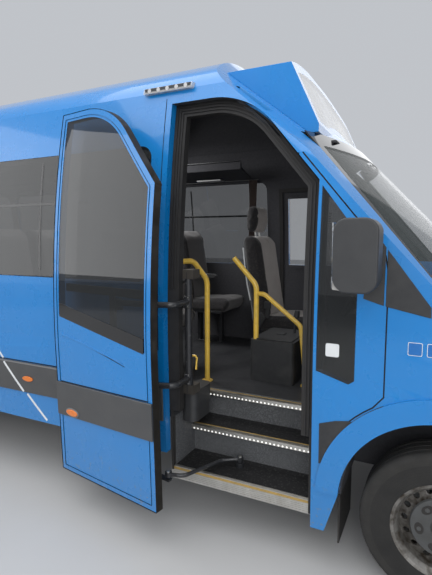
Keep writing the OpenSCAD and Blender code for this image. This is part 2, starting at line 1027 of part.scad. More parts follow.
// flaps that hang from the ends of the wheel liners
module mudflaps() {
  color("black") for (s = [-1, 1], w = [[front_axle - arch_r - 2, 640], [rear_axle_x - rear_arch_r - 15, 530]])
    box(w[0], w[0] + 8, s > 0 ? w[1] : wall - half + 6, s > 0 ? half - wall - 6 : -w[1], 160, arch_z);
}

module fuel_tank() {
  z1 = floor_z - floor_t;
  color("black") translate([0, 0, z1 - 270]) linear_extrude(270) translate([-250, 460])
    round_rect(0, 900, 0, 420, 60);
}

// pipe and silencer on hangers below the cross-members
exhaust_drop = 25;
module exhaust() {
  face = floor_z - floor_t - 110;
  z = face - exhaust_drop - 22;
  color("gray") {
    translate([rear_x + 90, -333, z]) rotate([0, 90, 0]) cylinder(r = 22, h = front_axle - 90 - rear_x - 90);
    translate([-1100, -333, z - 83]) rotate([0, 90, 0]) cylinder(r = 85, h = 560);
    for (x = [-3250, -1200, 1500]) box(x + 25, x + 55, -341, -325, z, face);
  }
}

// blank number plates
module number_plates() {
  color("white") {
    intersection() {
      nose_skin(-8, -4);
      box(3300, far, -260, 260, 600, 710);
    }
    box(rear_x - 24, rear_x - 20, -260, 260, 440, 550);
  }
}

// wipers parked along the foot of the windscreen
module wipers() {
  color("black") intersection() {
    difference() {
      screen_face(-16);
      screen_face(0);
    }
    translate([screen_x, 0, screen_z]) rotate([0, screen_angle, 0]) translate([0, 0, -400])
      linear_extrude(800) {
        for (y = [-640, 90]) {
          polygon([[935, y - 60], [950, y - 60], [915, y + 560], [900, y + 560]]);
          polygon([[1030, y + 70], [1030, y + 98], [925, y + 250], [915, y + 235]]);
        }
      }
  }
}

// shelves over the windows, curtain rails below them and one drawn curtain
module luggage_shelves() {
  color("dimgray") for (s = [-1, 1]) {
    mirror([0, s > 0 ? 0 : 1, 0]) translate([rear_x + 120, 0, 0]) rotate([90, 0, 90])
      linear_extrude(840 - rear_x - 120)
        polygon([[620, 2190], [half - wall - 82.7, 2124.7], [half - wall - 86.9, 2150.6],
                 [640, 2212], [640, 2252], [620, 2252]]);
  }
}
module curtain() {
  color("saddlebrown") translate([0, half - wall - 111.5, 1440]) linear_extrude(685)
    round_rect(815, 900, 0, 26, 8);
}

module handrails() {
  color("gold") {
    upright(1030, -370, 255) bent_tube([[0, floor_z], [0, 1330], [130, 1460], [420, 1460]], 17, 90);
    upright(1312, -200, 0) {
      bent_tube([[0, console_z], [0, 1292], [-165, 1470]], 17, 90);
      bent_tube([[14, 1236], [56, 1236], [308, 1040], [348, floor_z + 1.6]], 15, 60);
    }
  }
}

console_z = 930;
module dashboard() {
  color("dimgray") {
    difference() {
      intersection() {
        bar(wall, 1900, bulk_x - 35);
        across(0) polygon([[2010, 900], [1985, 1180], [2050, 1270], [bulk_x - 35, 1262], [bulk_x - 35, 850],
                           [2150, 850]]);
      }
      box(1900, far, half - wall - 26, far, 0, far);
      wheel_place() cylinder(r = 25.4, h = 500, center = true);
    }
    // top pad reaching forward below the windscreen
    box(bulk_x - 36, 2560, -690, 690, 1246, 1262);
    // console beside the driver
    translate([0, 0, floor_z]) linear_extrude(console_z - floor_z) round_rect(1280, 1585, -235, 200, 25);
  }
}

// places the steering column, its axis along Z
module wheel_place() {
  translate([1865, 430, 1200]) rotate([0, -60, 0]) children();
}
module steering_wheel() {
  color("black") {
    wheel_place() {
      rotate_extrude() translate([195, 0]) circle(15);
      translate([0, 0, -20]) cylinder(r = 55, h = 40);
      for (a = [0, 120, 240]) rotate([0, 0, a]) translate([40, -14, -8]) cube([150, 28, 16]);
      translate([0, 0, -190]) cylinder(r = 25, h = 180);
    }
  }
}

// cushion and backrest of one seat, with a hair between them
module seat(x, y, w, base_z, top_z) {
  translate([x, y + w / 2, 0]) rotate([90, 0, 0]) linear_extrude(w) {
    polygon([[-60, base_z - 110], [400, base_z - 90], [440, base_z - 20], [420, base_z + 10],
             [70, base_z - 10]]);
    translate([-0.25, 0.25])
      polygon([[-60, base_z - 110], [70, base_z - 10], [-30, top_z - 40], [-80, top_z],
               [-150, top_z - 10], [-150, top_z - 60]]);
  }
}

driver_at = [1150, 500];
module driver_seat() {
  color("tan") {
    seat(driver_at[0], driver_at[1], 460, 990, 1640);
    translate([driver_at[0], driver_at[1], 0]) rotate([90, 0, 0]) linear_extrude(280, center = true)
      polygon([[-150, 1640], [-80, 1640], [-60, 1860], [-130, 1870]]);
    box(driver_at[0] - 20, driver_at[0] + 360, driver_at[1] - 170, driver_at[1] + 170, floor_z, 905);
  }
}

seat_rows = [[350, 0], [-430, 0], [-1210, 0], [-1990, 0], [-2770, 0]];
module passenger_seats() {
  color("slategray") for (r = seat_rows) for (y = [-700, -250, 700]) {
    foot = abs(y) > 500 && abs(r[0] + 100 - rear_axle_x) < rear_arch_r ? arch_z + rear_arch_r + 15 : floor_z;
    if (!(r[0] > 300 && y < -500)) {
      seat(r[0], y, 430, 1060, 1690);
      box(r[0] + 20, r[0] + 300, y - 40, y + 40, foot, 985);
    }
  }
}

module chassis_frame() {
  z1 = floor_z - floor_t;
  color("black") {
    for (s = [-1, 1]) {
      box(rear_x + 120, front_axle + 700, s * 400 - 40, s * 400 + 40, z1 - 130, z1);
    }
    for (x = [-3250, -2500, -1200, -300, 600, 1500]) box(x, x + 80, -360, 360, z1 - 110, z1 - 20);
    box(front_axle - 90, front_axle + 90, -440, 440, z1 - 200, z1 - 130);
  }
}

module engine_block() {
  z1 = floor_z - floor_t;
  color("gray") box(front_axle + 40, front_axle + 640, -300, 300, z1 - 130, z1 + 430);
}

module front_suspension() {
  z1 = floor_z - floor_t;
  color("black") {
    box(front_axle - 60, front_axle + 60, -440, 440, axle_z - 160, z1 - 200);
    for (s = [-1, 1]) {
      box(front_axle - 30, front_axle + 30, s > 0 ? 440 : -kingpin_half, s > 0 ? kingpin_half : -440,
          axle_z - 160, axle_z - 130);
      box(front_axle - 30, front_axle + 30, s > 0 ? 440 : -kingpin_half, s > 0 ? kingpin_half : -440,
          axle_z + 130, axle_z + 160);
      translate([front_axle, s * kingpin_half, axle_z - 160]) cylinder(r = 30, h = 30);
      translate([front_axle, s * kingpin_half, axle_z + 130]) cylinder(r = 30, h = 30);
      translate([front_axle, s * kingpin_half, axle_z - 150]) cylinder(r = 12, h = 300);
    }
  }
}

module knuckle(s) {
  color("dimgray") difference() {
    union() {
      translate([front_axle, s * kingpin_half, axle_z - 123]) cylinder(r = 34, h = 246);
      translate([front_axle, s * kingpin_half, axle_z]) rotate([-90 * s, 0, 0]) {
        cylinder(r = 45, h = 45);
        cylinder(r = 25, h = 130);
      }
    }
    translate([front_axle, s * kingpin_half, axle_z - 160]) cylinder(r = 12.1, h = 320);
  }
}

// wheel disc and rim, drawn about Z with the outer side up
module rim(dish, bore) {
  difference() {
    rotate_extrude() polygon([[bore, dish - 8], [75, dish - 8], [75, dish - 8],
      [125, dish - 4], [140, dish - 24], [rim_r - 36, dish - 40], [rim_r - 36, -85],
      [rim_r - 12, -92], [rim_r, -96], [rim_r, -90], [rim_r - 22, -74], [rim_r - 22, 74], [rim_r, 90],
      [rim_r, 96], [rim_r - 14, 92], [rim_r - 30, 72], [rim_r - 30, dish - 28],
      [145, dish - 12], [128, dish + 6], [bore, dish + 6]]);
    for (i = [0:15]) rotate([0, 0, i * 22.5]) translate([160, 0, 0]) cylinder(r = 14, h = 200, center = true);
  }
}
module tyre() {
  w = tyre_width / 2;
  rotate_extrude() difference() {
    union() {
      translate([rim_r - 22, -w + 25]) square([tyre_r - rim_r + 22, 2 * w - 50]);
      translate([rim_r - 22 + 0, -74]) square([40, 148]);
      for (s = [-1, 1]) translate([tyre_r - 25, s * (w - 25)]) circle(25);
      translate([rim_r, -w]) square([tyre_r - rim_r - 25, 2 * w]);
    }
    translate([0, 90]) square([rim_r, 100]);
    translate([0, -190]) square([rim_r, 100]);
    for (z = [-45, 0, 45]) translate([tyre_r - 8, z - 4]) square([20, 8]);
    for (s = [-1, 1]) translate([rim_r - 30, s > 0 ? 74 : -174]) square([30, 100]);
  }
}
module wheel_at(x, y, s) {
  translate([x, y, axle_z]) rotate([-90 * s, 0, 0]) children();
}

module front_rim(s) {
  color("silver") wheel_at(front_axle, s * front_track_half, s) rim(48, 25.1);
}
module front_tyre(s) {
  color("black") wheel_at(front_axle, s * front_track_half, s) tyre();
}
module rear_rims(s) {
  color("silver") {
    wheel_at(rear_axle_x, s * rear_outer_half, s) rim(-60, 30.1);
    wheel_at(rear_axle_x, s * rear_inner_half, -s) rim(-60, 30.1);
    wheel_at(rear_axle_x, s * (rear_outer_half + rear_inner_half) / 2, s) difference() {
      cylinder(r = 110, h = rear_outer_half - rear_inner_half - 120 - 2 * 8 + 4, center = true);
      cylinder(r = 30.1, h = 400, center = true);
    }
  }
}
module rear_tyres(s) {
  color("black") for (y = [rear_outer_half, rear_inner_half])
    wheel_at(rear_axle_x, s * y, s) tyre();
}

module rear_axle() {
  color("black") {
    translate([rear_axle_x, 0, axle_z]) rotate([90, 0, 0]) {
      cylinder(r = 50, h = 1060, center = true);
      cylinder(r = 30, h = 1640, center = true);
    }
    translate([rear_axle_x, 0, axle_z]) sphere(150);
    for (s = [-1, 1]) {
      box(rear_axle_x - 650, rear_axle_x + 650, s * 400 - 30, s * 400 + 30, axle_z + 48, axle_z + 78);
      box(rear_axle_x - 650, rear_axle_x - 600, s * 400 - 30, s * 400 + 30, axle_z + 78, floor_z - floor_t - 130);
      box(rear_axle_x + 600, rear_axle_x + 650, s * 400 - 30, s * 400 + 30, axle_z + 78, floor_z - floor_t - 130);
    }
    translate([rear_axle_x, 0, axle_z]) rotate([0, 90, 0]) cylinder(r = 35, h = 3700);
  }
}

module wheel_liners() {
  // centre X, radius and inner end of each pair
  color("black") for (w = [[front_axle, arch_r + 2, 560], [rear_axle_x, rear_arch_r + 15, 500]],
                      s = [-1, 1]) intersection() {
    difference() {
      translate([w[0], s * w[2], arch_z]) rotate([-90 * s, 0, 0]) cylinder(r = w[1], h = 500);
      translate([w[0], s * (w[2] + 8), arch_z]) rotate([-90 * s, 0, 0]) cylinder(r = w[1] - 8, h = 500);
      box(-far, far, -far, far, -far, arch_z);
      // slot for the upper suspension arm
      box(front_axle - 70, front_axle + 70, -600, 600, 0, axle_z + 200);
    }
    bar(wall, rear_x, front_x);
  }
}

module rear_bumper() {
  color("dimgray") difference() {
    intersection() {
      bar(-8, rear_x - 20, rear_x + 330);
      box(rear_x - 30, rear_x + 330, -far, far, 380, rear_door_low - 2);
    }
    bar(0, rear_x, rear_x + 400);
    tail_cut(-20);
  }
}

module tail_lamps() {
  color("darkred") difference() {
    intersection() {
      bar(-5, rear_x - 5, rear_x + 90);
      union() for (s = [-1, 1])
        box(rear_x - 10, rear_x + 90, s > 0 ? rear_door_half + 15 : -far,
            s > 0 ? far : -rear_door_half - 15, 900, 1330);
    }
    difference() {
      bar(0, rear_x, rear_x + 400);
      tail_cut(0);
    }
    tail_cut(-5);
  }
}

module mirror_body(s) {
  x = 2104;
  color("dimgray") {
    translate([x, s * 1130, 0]) {
      rotate([90, 0, 0]) linear_extrude(150, center = true) round_rect(-87, 87, 1388, 1682, 55);
    }
    translate([x, s * 1060, 1480]) rotate([90, 0, 0]) cylinder(r = 38, h = 160, center = true);
    translate([x, s * 975, 1480]) difference() {
      rotate([90, 0, 0]) cylinder(r = 60, h = 60, center = true);
    }
  }
}
module right_mirror() {
  difference() {
    mirror_body(-1);
    bar(0, 1900, 2300);
  }
}
module left_mirror() {
  difference() {
    mirror_body(1);
    bar(0, 1900, 2300);
  }
}

// like pieces that share a node
module body_glass() {
  side_windows();
  display_glass();
}
module grilles() {
  grille();
  cowl();
}
module bumpers() {
  front_bumper();
  rear_bumper();
}
module lamps() {
  headlamps();
  tail_lamps();
  entrance_lamp();
}
module door_fittings() {
  door_hinges();
  door_bearings();
}
module axles() {
  front_suspension();
  rear_axle();
}
module leaf_trim() {
  leaf_strip();
  leaf_profile();
}

chassis_frame();
floor_plate();  // floor
entrance_steps();
step_nosings();
right_side();
left_side();
roof();
display_housing();
windscreen();
fenders();
bumpers();
grilles();
lamps();
front_fixed_panel();
body_glass();
entrance_frame();
door_seals();
door_fittings();
gear_cover();
rub_strips();
dashboard();
steering_wheel();
driver_seat();
passenger_seats();
handrails();
engine_block();
axles();
wheel_liners();
right_mirror();
driver_door();
driver_door_glass();
left_mirror();
rear_door(1);  // rear_door_left
rear_door(-1);  // rear_door_right
rear_glass(1);  // rear_glass_left
rear_glass(-1);  // rear_glass_right
bonnet();
mudflaps();
fuel_tank();
exhaust();
number_plates();
wipers();
luggage_shelves();
curtain();
door_column();
door_leaf();
door_leaf_glass();
leaf_trim();
door_carrier();
guide_rod();
knuckle(1);  // knuckle_left
knuckle(-1);  // knuckle_right
front_rim(1);  // front_rim_left
front_tyre(1);  // front_tyre_left
front_rim(-1);  // front_rim_right
front_tyre(-1);  // front_tyre_right
rear_rims(1);  // rear_rims_left
rear_tyres(1);  // rear_tyres_left
rear_rims(-1);  // rear_rims_right
rear_tyres(-1);  // rear_tyres_right
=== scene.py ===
import json
from math import cos, pi, radians, sin, sqrt, tan

import bmesh
import bpy
from mathutils import Matrix, Vector
from mathutils.bvhtree import BVHTree


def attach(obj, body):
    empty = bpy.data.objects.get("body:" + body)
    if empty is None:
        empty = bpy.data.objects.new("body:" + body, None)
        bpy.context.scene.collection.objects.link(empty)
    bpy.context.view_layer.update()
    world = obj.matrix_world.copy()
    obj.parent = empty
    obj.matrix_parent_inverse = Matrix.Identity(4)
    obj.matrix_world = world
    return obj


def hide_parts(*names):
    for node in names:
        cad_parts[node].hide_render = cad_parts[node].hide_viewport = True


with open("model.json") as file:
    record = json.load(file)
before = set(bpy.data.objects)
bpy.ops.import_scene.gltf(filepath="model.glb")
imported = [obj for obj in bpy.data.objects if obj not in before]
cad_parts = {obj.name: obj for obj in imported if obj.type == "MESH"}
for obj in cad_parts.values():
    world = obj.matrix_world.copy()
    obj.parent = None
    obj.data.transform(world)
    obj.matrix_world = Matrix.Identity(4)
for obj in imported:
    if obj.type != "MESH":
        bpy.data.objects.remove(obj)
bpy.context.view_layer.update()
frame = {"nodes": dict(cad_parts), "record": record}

scene = bpy.context.scene
scene.view_settings.view_transform = "Standard"

# Camera at eye height beside the front wheel, looking back along the open entrance.
# The lens is that of a telephone held upright.
camera = bpy.data.objects.new("camera", bpy.data.cameras.new("camera"))
scene.collection.objects.link(camera)
scene.camera = camera
camera.data.lens = 28.26
camera.data.sensor_width = 36
to_right = Vector((0.8957, 0.4446, 0))
to_top = Vector((-0.0482, 0.0971, 0.9941))
eye = Vector((2.400, -3.000, 1.603))
camera.matrix_world = Matrix.Translation(eye) @ Matrix(
    (to_right, to_top, to_right.cross(to_top))).transposed().to_4x4()


class Value:
    """A shader socket; a sum or product with it adds the Math node."""

    def __init__(self, finish, socket):
        self.finish, self.socket = finish, socket

    def math(self, operation, first, second=0.0):
        return self.finish.add("ShaderNodeMath", {"operation": operation}, {0: first, 1: second})

    def __add__(self, other):
        return self.math("ADD", self, other)

    def __sub__(self, other):
        return self.math("SUBTRACT", self, other)

    def __rsub__(self, other):
        return self.math("SUBTRACT", other, self)

    def __mul__(self, other):
        return self.math("MULTIPLY", self, other)

    def __mod__(self, other):
        return self.math("FLOORED_MODULO", self, other)

    def __gt__(self, other):
        return self.math("GREATER_THAN", self, other)

    def __lt__(self, other):
        return self.math("LESS_THAN", self, other)

    def __abs__(self):
        return self.math("ABSOLUTE", self)

    __radd__, __rmul__ = __add__, __mul__

    def clamp(self, low, high, to_low=0.0, to_high=1.0):
        """Runs evenly from to_low to to_high while the value goes from low to high."""
        return self.finish.add("ShaderNodeMapRange", {"clamp": True},
                               {0: self, 1: low, 2: high, 3: to_low, 4: to_high})

    def __getitem__(self, name):
        return Value(self.finish, self.socket.node.outputs[name])


class Finish:
    """A material on one Principled shader, filled in node by node."""

    def __init__(self, name, **plain):
        self.material = bpy.data.materials.new(name)
        self.material.use_nodes = True
        self.tree = self.material.node_tree
        self.shader = self.tree.nodes["Principled BSDF"]
        self.place = self.add("ShaderNodeTexCoord")["Object"]
        self.set(**plain)

    def add(self, kind, settings=None, sockets=None):
        node = self.tree.nodes.new(kind)
        for key, value in (settings or {}).items():
            setattr(node, key, value)
        for key, value in (sockets or {}).items():
            self.join(value, node.inputs[key])
        return Value(self, node.outputs[0])

    def join(self, value, socket):
        if isinstance(value, Value):
            self.tree.links.new(value.socket, socket)
        elif isinstance(value, tuple) and len(value) == 3 and socket.type == "RGBA":
            socket.default_value = (*value, 1)
        else:
            socket.default_value = value

    def set(self, **sockets):
        for key, value in sockets.items():
            self.join(value, self.shader.inputs[key.replace("_", " ")])

    def noise(self, scale, detail=3.0):
        return self.add("ShaderNodeTexNoise", {},
                        {"Vector": self.place, "Scale": scale, "Detail": detail})

    def cells(self, scale):
        return self.add("ShaderNodeTexVoronoi", {},
                        {"Vector": self.place, "Scale": scale})["Distance"]

    def mix(self, factor, first, second):
        node = self.add("ShaderNodeMix", {"data_type": "RGBA"}, {0: factor, 6: first, 7: second})
        return Value(self, node.socket.node.outputs[2])

    def tones(self, mask, first, second):
        """Colours the surface between two tones, by a mask."""
        self.set(Base_Color=self.mix(mask, first, second))

    def gloss(self, scale, low, high, detail=3.0):
        """Lets the roughness wander between two values, in patches of one scale."""
        self.set(Roughness=self.noise(scale, detail).clamp(0.3, 0.7, low, high))

    def bump(self, height, strength, distance):
        self.set(Normal=self.add("ShaderNodeBump", {}, {"Strength": strength, "Distance": distance,
                                                        "Height": height}))

    def grain(self, scale, strength, distance, detail=3.0):
        """Makes the surface finely uneven."""
        self.bump(self.noise(scale, detail), strength, distance)

    def axes(self):
        parts = self.add("ShaderNodeSeparateXYZ", {}, {0: self.place})
        return parts["X"], parts["Y"], parts["Z"]


bodies = frame["record"]["behaviour"]["bodies"]
body_of = {node: body for body, nodes in bodies.items() for node in nodes}
slot_of = {part["node"]: part["material_slot"] for part in frame["record"]["subparts"]}


def settle(piece, body, slot, *nodes):
    """A finished piece rides on its body and stands for its CAD solids; slot is not used."""
    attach(piece, body)
    if nodes:
        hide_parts(*nodes)
    return piece


def piece_of(work, name, finishes, body, slot, nodes=(), edge=0.0, turn=35, steps=2, outwards=True):
    """The finished bmesh as a piece with smooth curves, sharp creases and rounded edges."""
    if outwards:
        bmesh.ops.recalc_face_normals(work, faces=work.faces[:])
    mesh = bpy.data.meshes.new(name)
    work.to_mesh(mesh)
    work.free()
    for finish in finishes if isinstance(finishes, tuple) else (finishes,):
        mesh.materials.append(finish.material)
    for face in mesh.polygons:
        face.use_smooth = True
    mesh.set_sharp_from_angle(angle=radians(turn))
    piece = bpy.data.objects.new(name, mesh)
    scene.collection.objects.link(piece)
    if edge:
        rounding = piece.modifiers.new("rounding", "BEVEL")
        rounding.width, rounding.segments = edge, steps
        rounding.limit_method, rounding.angle_limit = "ANGLE", radians(turn)
        rounding.use_clamp_overlap = rounding.harden_normals = True
    return settle(piece, body, slot, *nodes)


def soften(node, finishes, edge=0.002, turn=32, sort=None, steps=2, turned=None):
    """A merged copy of a CAD solid with rounded edges, which stands for it.
    sort gives each face the number of its finish from the face's centre and normal."""
    work = bmesh.new()
    work.from_mesh(frame["nodes"][node].data)
    bmesh.ops.remove_doubles(work, verts=work.verts, dist=1e-5)
    bmesh.ops.dissolve_limit(work, angle_limit=radians(0.3), verts=work.verts, edges=work.edges,
                             delimit={"NORMAL"})
    for face in work.faces:
        centre, normal = face.calc_center_median(), face.normal
        if turned:
            centre, normal = turned @ centre, turned.to_3x3() @ normal
        face.material_index = sort(centre, normal) if sort else 0
    piece_of(work, node + ".skin", finishes, body_of[node], slot_of[node], (node,), edge, turn,
             steps, outwards=False)


# Body shell, wings, bonnet and doors: pressed steel in one bright blue, sprayed and cleared,
# with road dust settled along the sills. Inside, the walls are lined with dark grey felt.
blue = Finish("blue_paint", Roughness=0.3, IOR=1.5, Coat_Roughness=0.05, Coat_Weight=0.7)
x, y, z = blue.axes()
low_down = z.clamp(0.2, 0.9, 0.30, 0.0)
dust = blue.noise(3.0, 5.0) * low_down
splashes = (blue.noise(38.0, 4.0) > 0.63) * z.clamp(0.22, 0.5, 0.5, 0.0)
blue.tones((dust + splashes).clamp(0.0, 1.0), (0.001, 0.195, 0.55), (0.15, 0.18, 0.20))
blue.gloss(9.0, 0.24, 0.34)
blue.grain(420.0, 0.04, 0.0004, 2.0)

lining = Finish("dark_lining", Roughness=0.95)
lining.tones(lining.noise(60.0, 4.0), (0.034, 0.034, 0.038), (0.062, 0.062, 0.070))
lining.grain(700.0, 0.4, 0.0008, 3.0)


def inside(centre, normal):
    """1 for a face that looks into the cabin, 0 for one that looks out."""
    rear_wall, cab_start, middle_height = -3.4, 1.7, 1.35
    if centre.x < rear_wall and abs(normal.x) > 0.5:
        return int(normal.x > 0)
    outward = Vector((max(centre.x - cab_start, 0), centre.y, centre.z - middle_height))
    return int(normal.dot(outward.normalized()) < -0.3)


for node in ("right_side", "left_side", "roof", "driver_door", "rear_door_left", "rear_door_right",
             "front_fixed_panel", "door_leaf"):
    soften(node, (blue, lining), 0.0025, sort=inside)
for node in ("fenders", "bonnet", "display_housing"):
    soften(node, blue, 0.004)


def skin(height):
    """Half-width of the outer skin: a long arc above 1 m, a line that leans in below."""
    waist, waist_half_width, lean = 1.0, 0.99584, radians(1.6)
    widest, widest_height, bulge = 0.9965, 1.09, 6.6
    if height < waist:
        return waist_half_width - (waist - height) * tan(lean)
    return widest - bulge + sqrt(bulge ** 2 - (height - widest_height) ** 2)


def arc(centre, radius, start, end, steps):
    """Points of an arc in side view, from and to angles in degrees."""
    turns = [radians(start + (end - start) * i / steps) for i in range(steps + 1)]
    return [(centre[0] + radius * cos(t), centre[1] + radius * sin(t)) for t in turns]


def rounded(left, right, low, high, radius):
    """A rectangle with round corners in side view."""
    corners = (((right - radius, high - radius), 0), ((left + radius, high - radius), 90),
               ((left + radius, low + radius), 180), ((right - radius, low + radius), 270))
    return [point for centre, start in corners
            for point in arc(centre, radius, start, start + 90, 6)]


def flat(work, outline):
    """A face in side view from its outline."""
    return work.faces.new([work.verts.new((px, 0, pz)) for px, pz in outline])


def border(work, outline, width):
    """A ring that runs inside the outline."""
    face = flat(work, outline)
    bmesh.ops.inset_region(work, faces=[face], thickness=width, use_even_offset=True,
                           use_boundary=True)
    bmesh.ops.delete(work, geom=[face], context="FACES_ONLY")


def push(work, faces, way):
    """Draws faces out along a vector, closed round their edges, and gives the new corners."""
    made = bmesh.ops.extrude_face_region(work, geom=faces)["geom"]
    corners = [part for part in made if isinstance(part, bmesh.types.BMVert)]
    bmesh.ops.translate(work, verts=corners, vec=way)
    return corners


def wrap(work, side, proud, step=0.09):
    """Lays what is drawn in side view on the curved side of the body, standing proud of it."""
    heights = [v.co.z for v in work.verts]
    level = min(heights) + step
    while level < max(heights) - 0.01:
        bmesh.ops.bisect_plane(work, geom=work.verts[:] + work.edges[:] + work.faces[:],
                               plane_co=(0, 0, level), plane_no=(0, 0, 1))
        level += step
    for vert in work.verts:
        vert.co.y = side * (skin(vert.co.z) + proud - vert.co.y)


def trim(name, outlines, finish, side, proud, depth, body="bus", slot="dark_plastic", width=None,
         edge=0.0, place=None, steps=2):
    """Flat pieces or, with a width, rings of one finish, laid on the side of the body: how far
    they stand proud of it comes first, how deep they reach second."""
    work = bmesh.new()
    for outline in outlines:
        part = bmesh.new()
        border(part, outline, width) if width else flat(part, outline)
        push(part, part.faces[:], (0, depth, 0))
        wrap(part, side, proud)
        mesh = bpy.data.meshes.new(name)
        part.to_mesh(mesh)
        part.free()
        work.from_mesh(mesh)
    if place:
        bmesh.ops.transform(work, matrix=place, verts=work.verts[:])
    piece_of(work, name, finish, body, slot, (), edge, steps=steps)


def ribbon(path, width, step=0.06):
    """Outline of a line of even width along a path in side view."""
    dense = [path[0]]
    for (ax, az), (bx, bz) in zip(path, path[1:]):
        cuts = max(1, round(sqrt((bx - ax) ** 2 + (bz - az) ** 2) / step))
        dense += [(ax + (bx - ax) * i / cuts, az + (bz - az) * i / cuts)
                  for i in range(1, cuts + 1)]
    left, right = [], []
    for i, (px, pz) in enumerate(dense):
        before, after = dense[max(i - 1, 0)], dense[min(i + 1, len(dense) - 1)]
        along = Vector((after[0] - before[0], after[1] - before[1])).normalized() * width / 2
        left.append((px - along.y, pz + along.x))
        right.append((px + along.y, pz - along.x))
    return left + right[::-1]


# Shut lines round the fixed panel beside the entrance and round the fuel flap, and the seams of
# the side panels: narrow dark gaps between pressed sheets.
right, left, gutter = -1, 1, 2.34


def seams(*lines):
    """Upright seams between side panels, from the gutter down to each one's own height."""
    return [ribbon([(px, gutter), (px, low)], 0.004) for px, low in lines]


# This near-black finish also paints the shadow under the leaf's crease.
gap = Finish("shut_gap", Roughness=0.9, Base_Color=(0.004, 0.004, 0.005))
gap.grain(200.0, 0.1, 0.0005)
panel_edge = [(1.816, 1.994), (2.059, 1.704), (2.15, 1.60), (2.195, 1.53), (2.21, 1.45),
              (2.21, 0.92)]
panel_edge += arc((2.4685, 0.40), 0.556, 118, 157, 8)[1:]
right_seams = [ribbon(panel_edge, 0.006)] + seams((1.055, 1.0), (-0.675, 0.83), (-2.28, 0.86))
trim("right_shut_lines", right_seams, gap, right, 0.0006, 0.0012)
flap = rounded(-1.02, -0.82, 0.90, 1.10, 0.03)
left_seams = seams((1.04, 1.0), (-0.675, 0.83), (-2.28, 0.86)) + [ribbon(flap + flap[:1], 0.004)]
trim("left_shut_lines", left_seams, gap, left, 0.0006, 0.0012)

# White curved stripe painted on the lower right side, running over the rub strip.
white = Finish("white_paint", Roughness=0.3, Coat_Weight=0.5)
white.tones(white.noise(14.0), (0.66, 0.68, 0.69), (0.76, 0.78, 0.79))
sweep = [(px, pz) for px, pz in arc((2.79, 3.41), 3.951, 215, 229.5, 40) if pz > 0.43]
on_paint, on_strip = 0.0006, 0.0126
for name, low, high, proud in (("above", 0.806, gutter, on_paint),
                               ("on_strip", 0.606, 0.804, on_strip),
                               ("below", 0.0, 0.604, on_paint)):
    part = [(px, pz) for px, pz in sweep if low < pz < high]
    trim("white_stripe_" + name, [ribbon(part, 0.016)], white, right, proud, 0.0012,
         slot="white_plate")

# Side, rear and door panes: heat-treated glass tinted almost black, bonded flush in the panels,
# with a band of black ceramic baked along every edge.
tint = Finish("tinted_glass", Roughness=0.02, IOR=1.52, Alpha=0.62,
              Base_Color=(0.010, 0.012, 0.013), Coat_Weight=0.6, Coat_Roughness=0.01)
tint.grain(1.6, 0.02, 0.004, 2.0)


def coat(finish, *nodes):
    """Gives CAD solids that stay as they are their finish."""
    for node in nodes:
        mesh = frame["nodes"][node].data
        mesh.materials.clear()
        mesh.materials.append(finish.material)


coat(tint, "body_glass", "rear_glass_left", "rear_glass_right", "door_leaf_glass")
ceramic = Finish("black_ceramic", Roughness=0.12, Base_Color=(0.006, 0.006, 0.007), Coat_Weight=0.5)
ceramic.grain(90.0, 0.03, 0.0005)
sides = ((right, "right"), (left, "left"))
bays = {right: ((-3.23, -2.33), (-2.23, -0.72), (-0.62, 0.985)),
        left: ((-3.23, -2.33), (-2.23, -0.72), (-0.62, 0.98))}
sill, head, play = 1.367, 2.098, 0.002
for side, name in sides:
    panes = [rounded(a + play, b - play, sill, head, 0.068) for a, b in bays[side]]
    trim(f"{name}_window_borders", panes, ceramic, side, 0.0012, 0.0016, slot="tinted_glass",
         width=0.042)
    bars = [ribbon([((a + b) / 2, 1.41), ((a + b) / 2, 2.06)], 0.012) for a, b in bays[side][1:]]
    bars += [ribbon([(a + 0.05, 1.81), (b - 0.05, 1.81)], 0.016) for a, b in bays[side][1:]]
    trim(f"{name}_window_sashes", bars, ceramic, side, 0.0010, 0.007, slot="tinted_glass")

# The fixed pane beside the entrance has a wide ceramic edge, ladder-like dashes at its rear
# edge and a blank white sticker.
fixed_pane = [(1.915, 1.002), (2.06, 0.957), (2.085, 0.975), (2.085, 1.56), (2.05, 1.66),
              (1.915, 1.838)]
trim("fixed_pane_border", [fixed_pane], ceramic, right, 0.0012, 0.0016, slot="tinted_glass",
     width=0.030)
dash_levels = [1.04 + 0.011 * i for i in range(62)]
dashes = [ribbon([(1.949, level), (1.961, level)], 0.004) for level in dash_levels]
trim("fixed_pane_dashes", dashes, ceramic, right, 0.0012, 0.0014, slot="tinted_glass")
sticker = rounded(1.957, 2.017, 1.075, 1.135, 0.008)
trim("blank_sticker", [sticker], white, right, 0.0022, 0.0012, slot="white_plate")

# Windscreen: green-tinged laminated glass with a black ceramic edge. The cab door pane is clear
# and has a ceramic border of its own.
green = (0.03, 0.05, 0.045)
screen = Finish("clear_glass", Roughness=0.01, IOR=1.5, Coat_Weight=0.4)
x, y, z = screen.axes()
half_width = z.clamp(1.37, 2.12, 0.955, 0.755)
edge = ((abs(y) > half_width) + (z > 2.045) + (z < 1.45)).clamp(0.0, 1.0)
screen.set(Alpha=edge.clamp(0.0, 1.0, 0.24, 1.0))
screen.tones(edge, green, (0.005, 0.005, 0.006))
coat(screen, "windscreen")
cab_pane = Finish("cab_door_glass", Roughness=0.01, IOR=1.5, Base_Color=green, Alpha=0.3)
cab_pane.grain(2.0, 0.02, 0.003)
coat(cab_pane, "driver_door_glass")
cab_line = [(1.177, 1.367), (2.118, 1.367), (2.118, 1.414), (1.683, 1.948), (1.177, 1.948)]
trim("cab_pane_border", [cab_line], ceramic, left, 0.0012, 0.0016, body="driver_door_body",
     slot="tinted_glass", width=0.03)
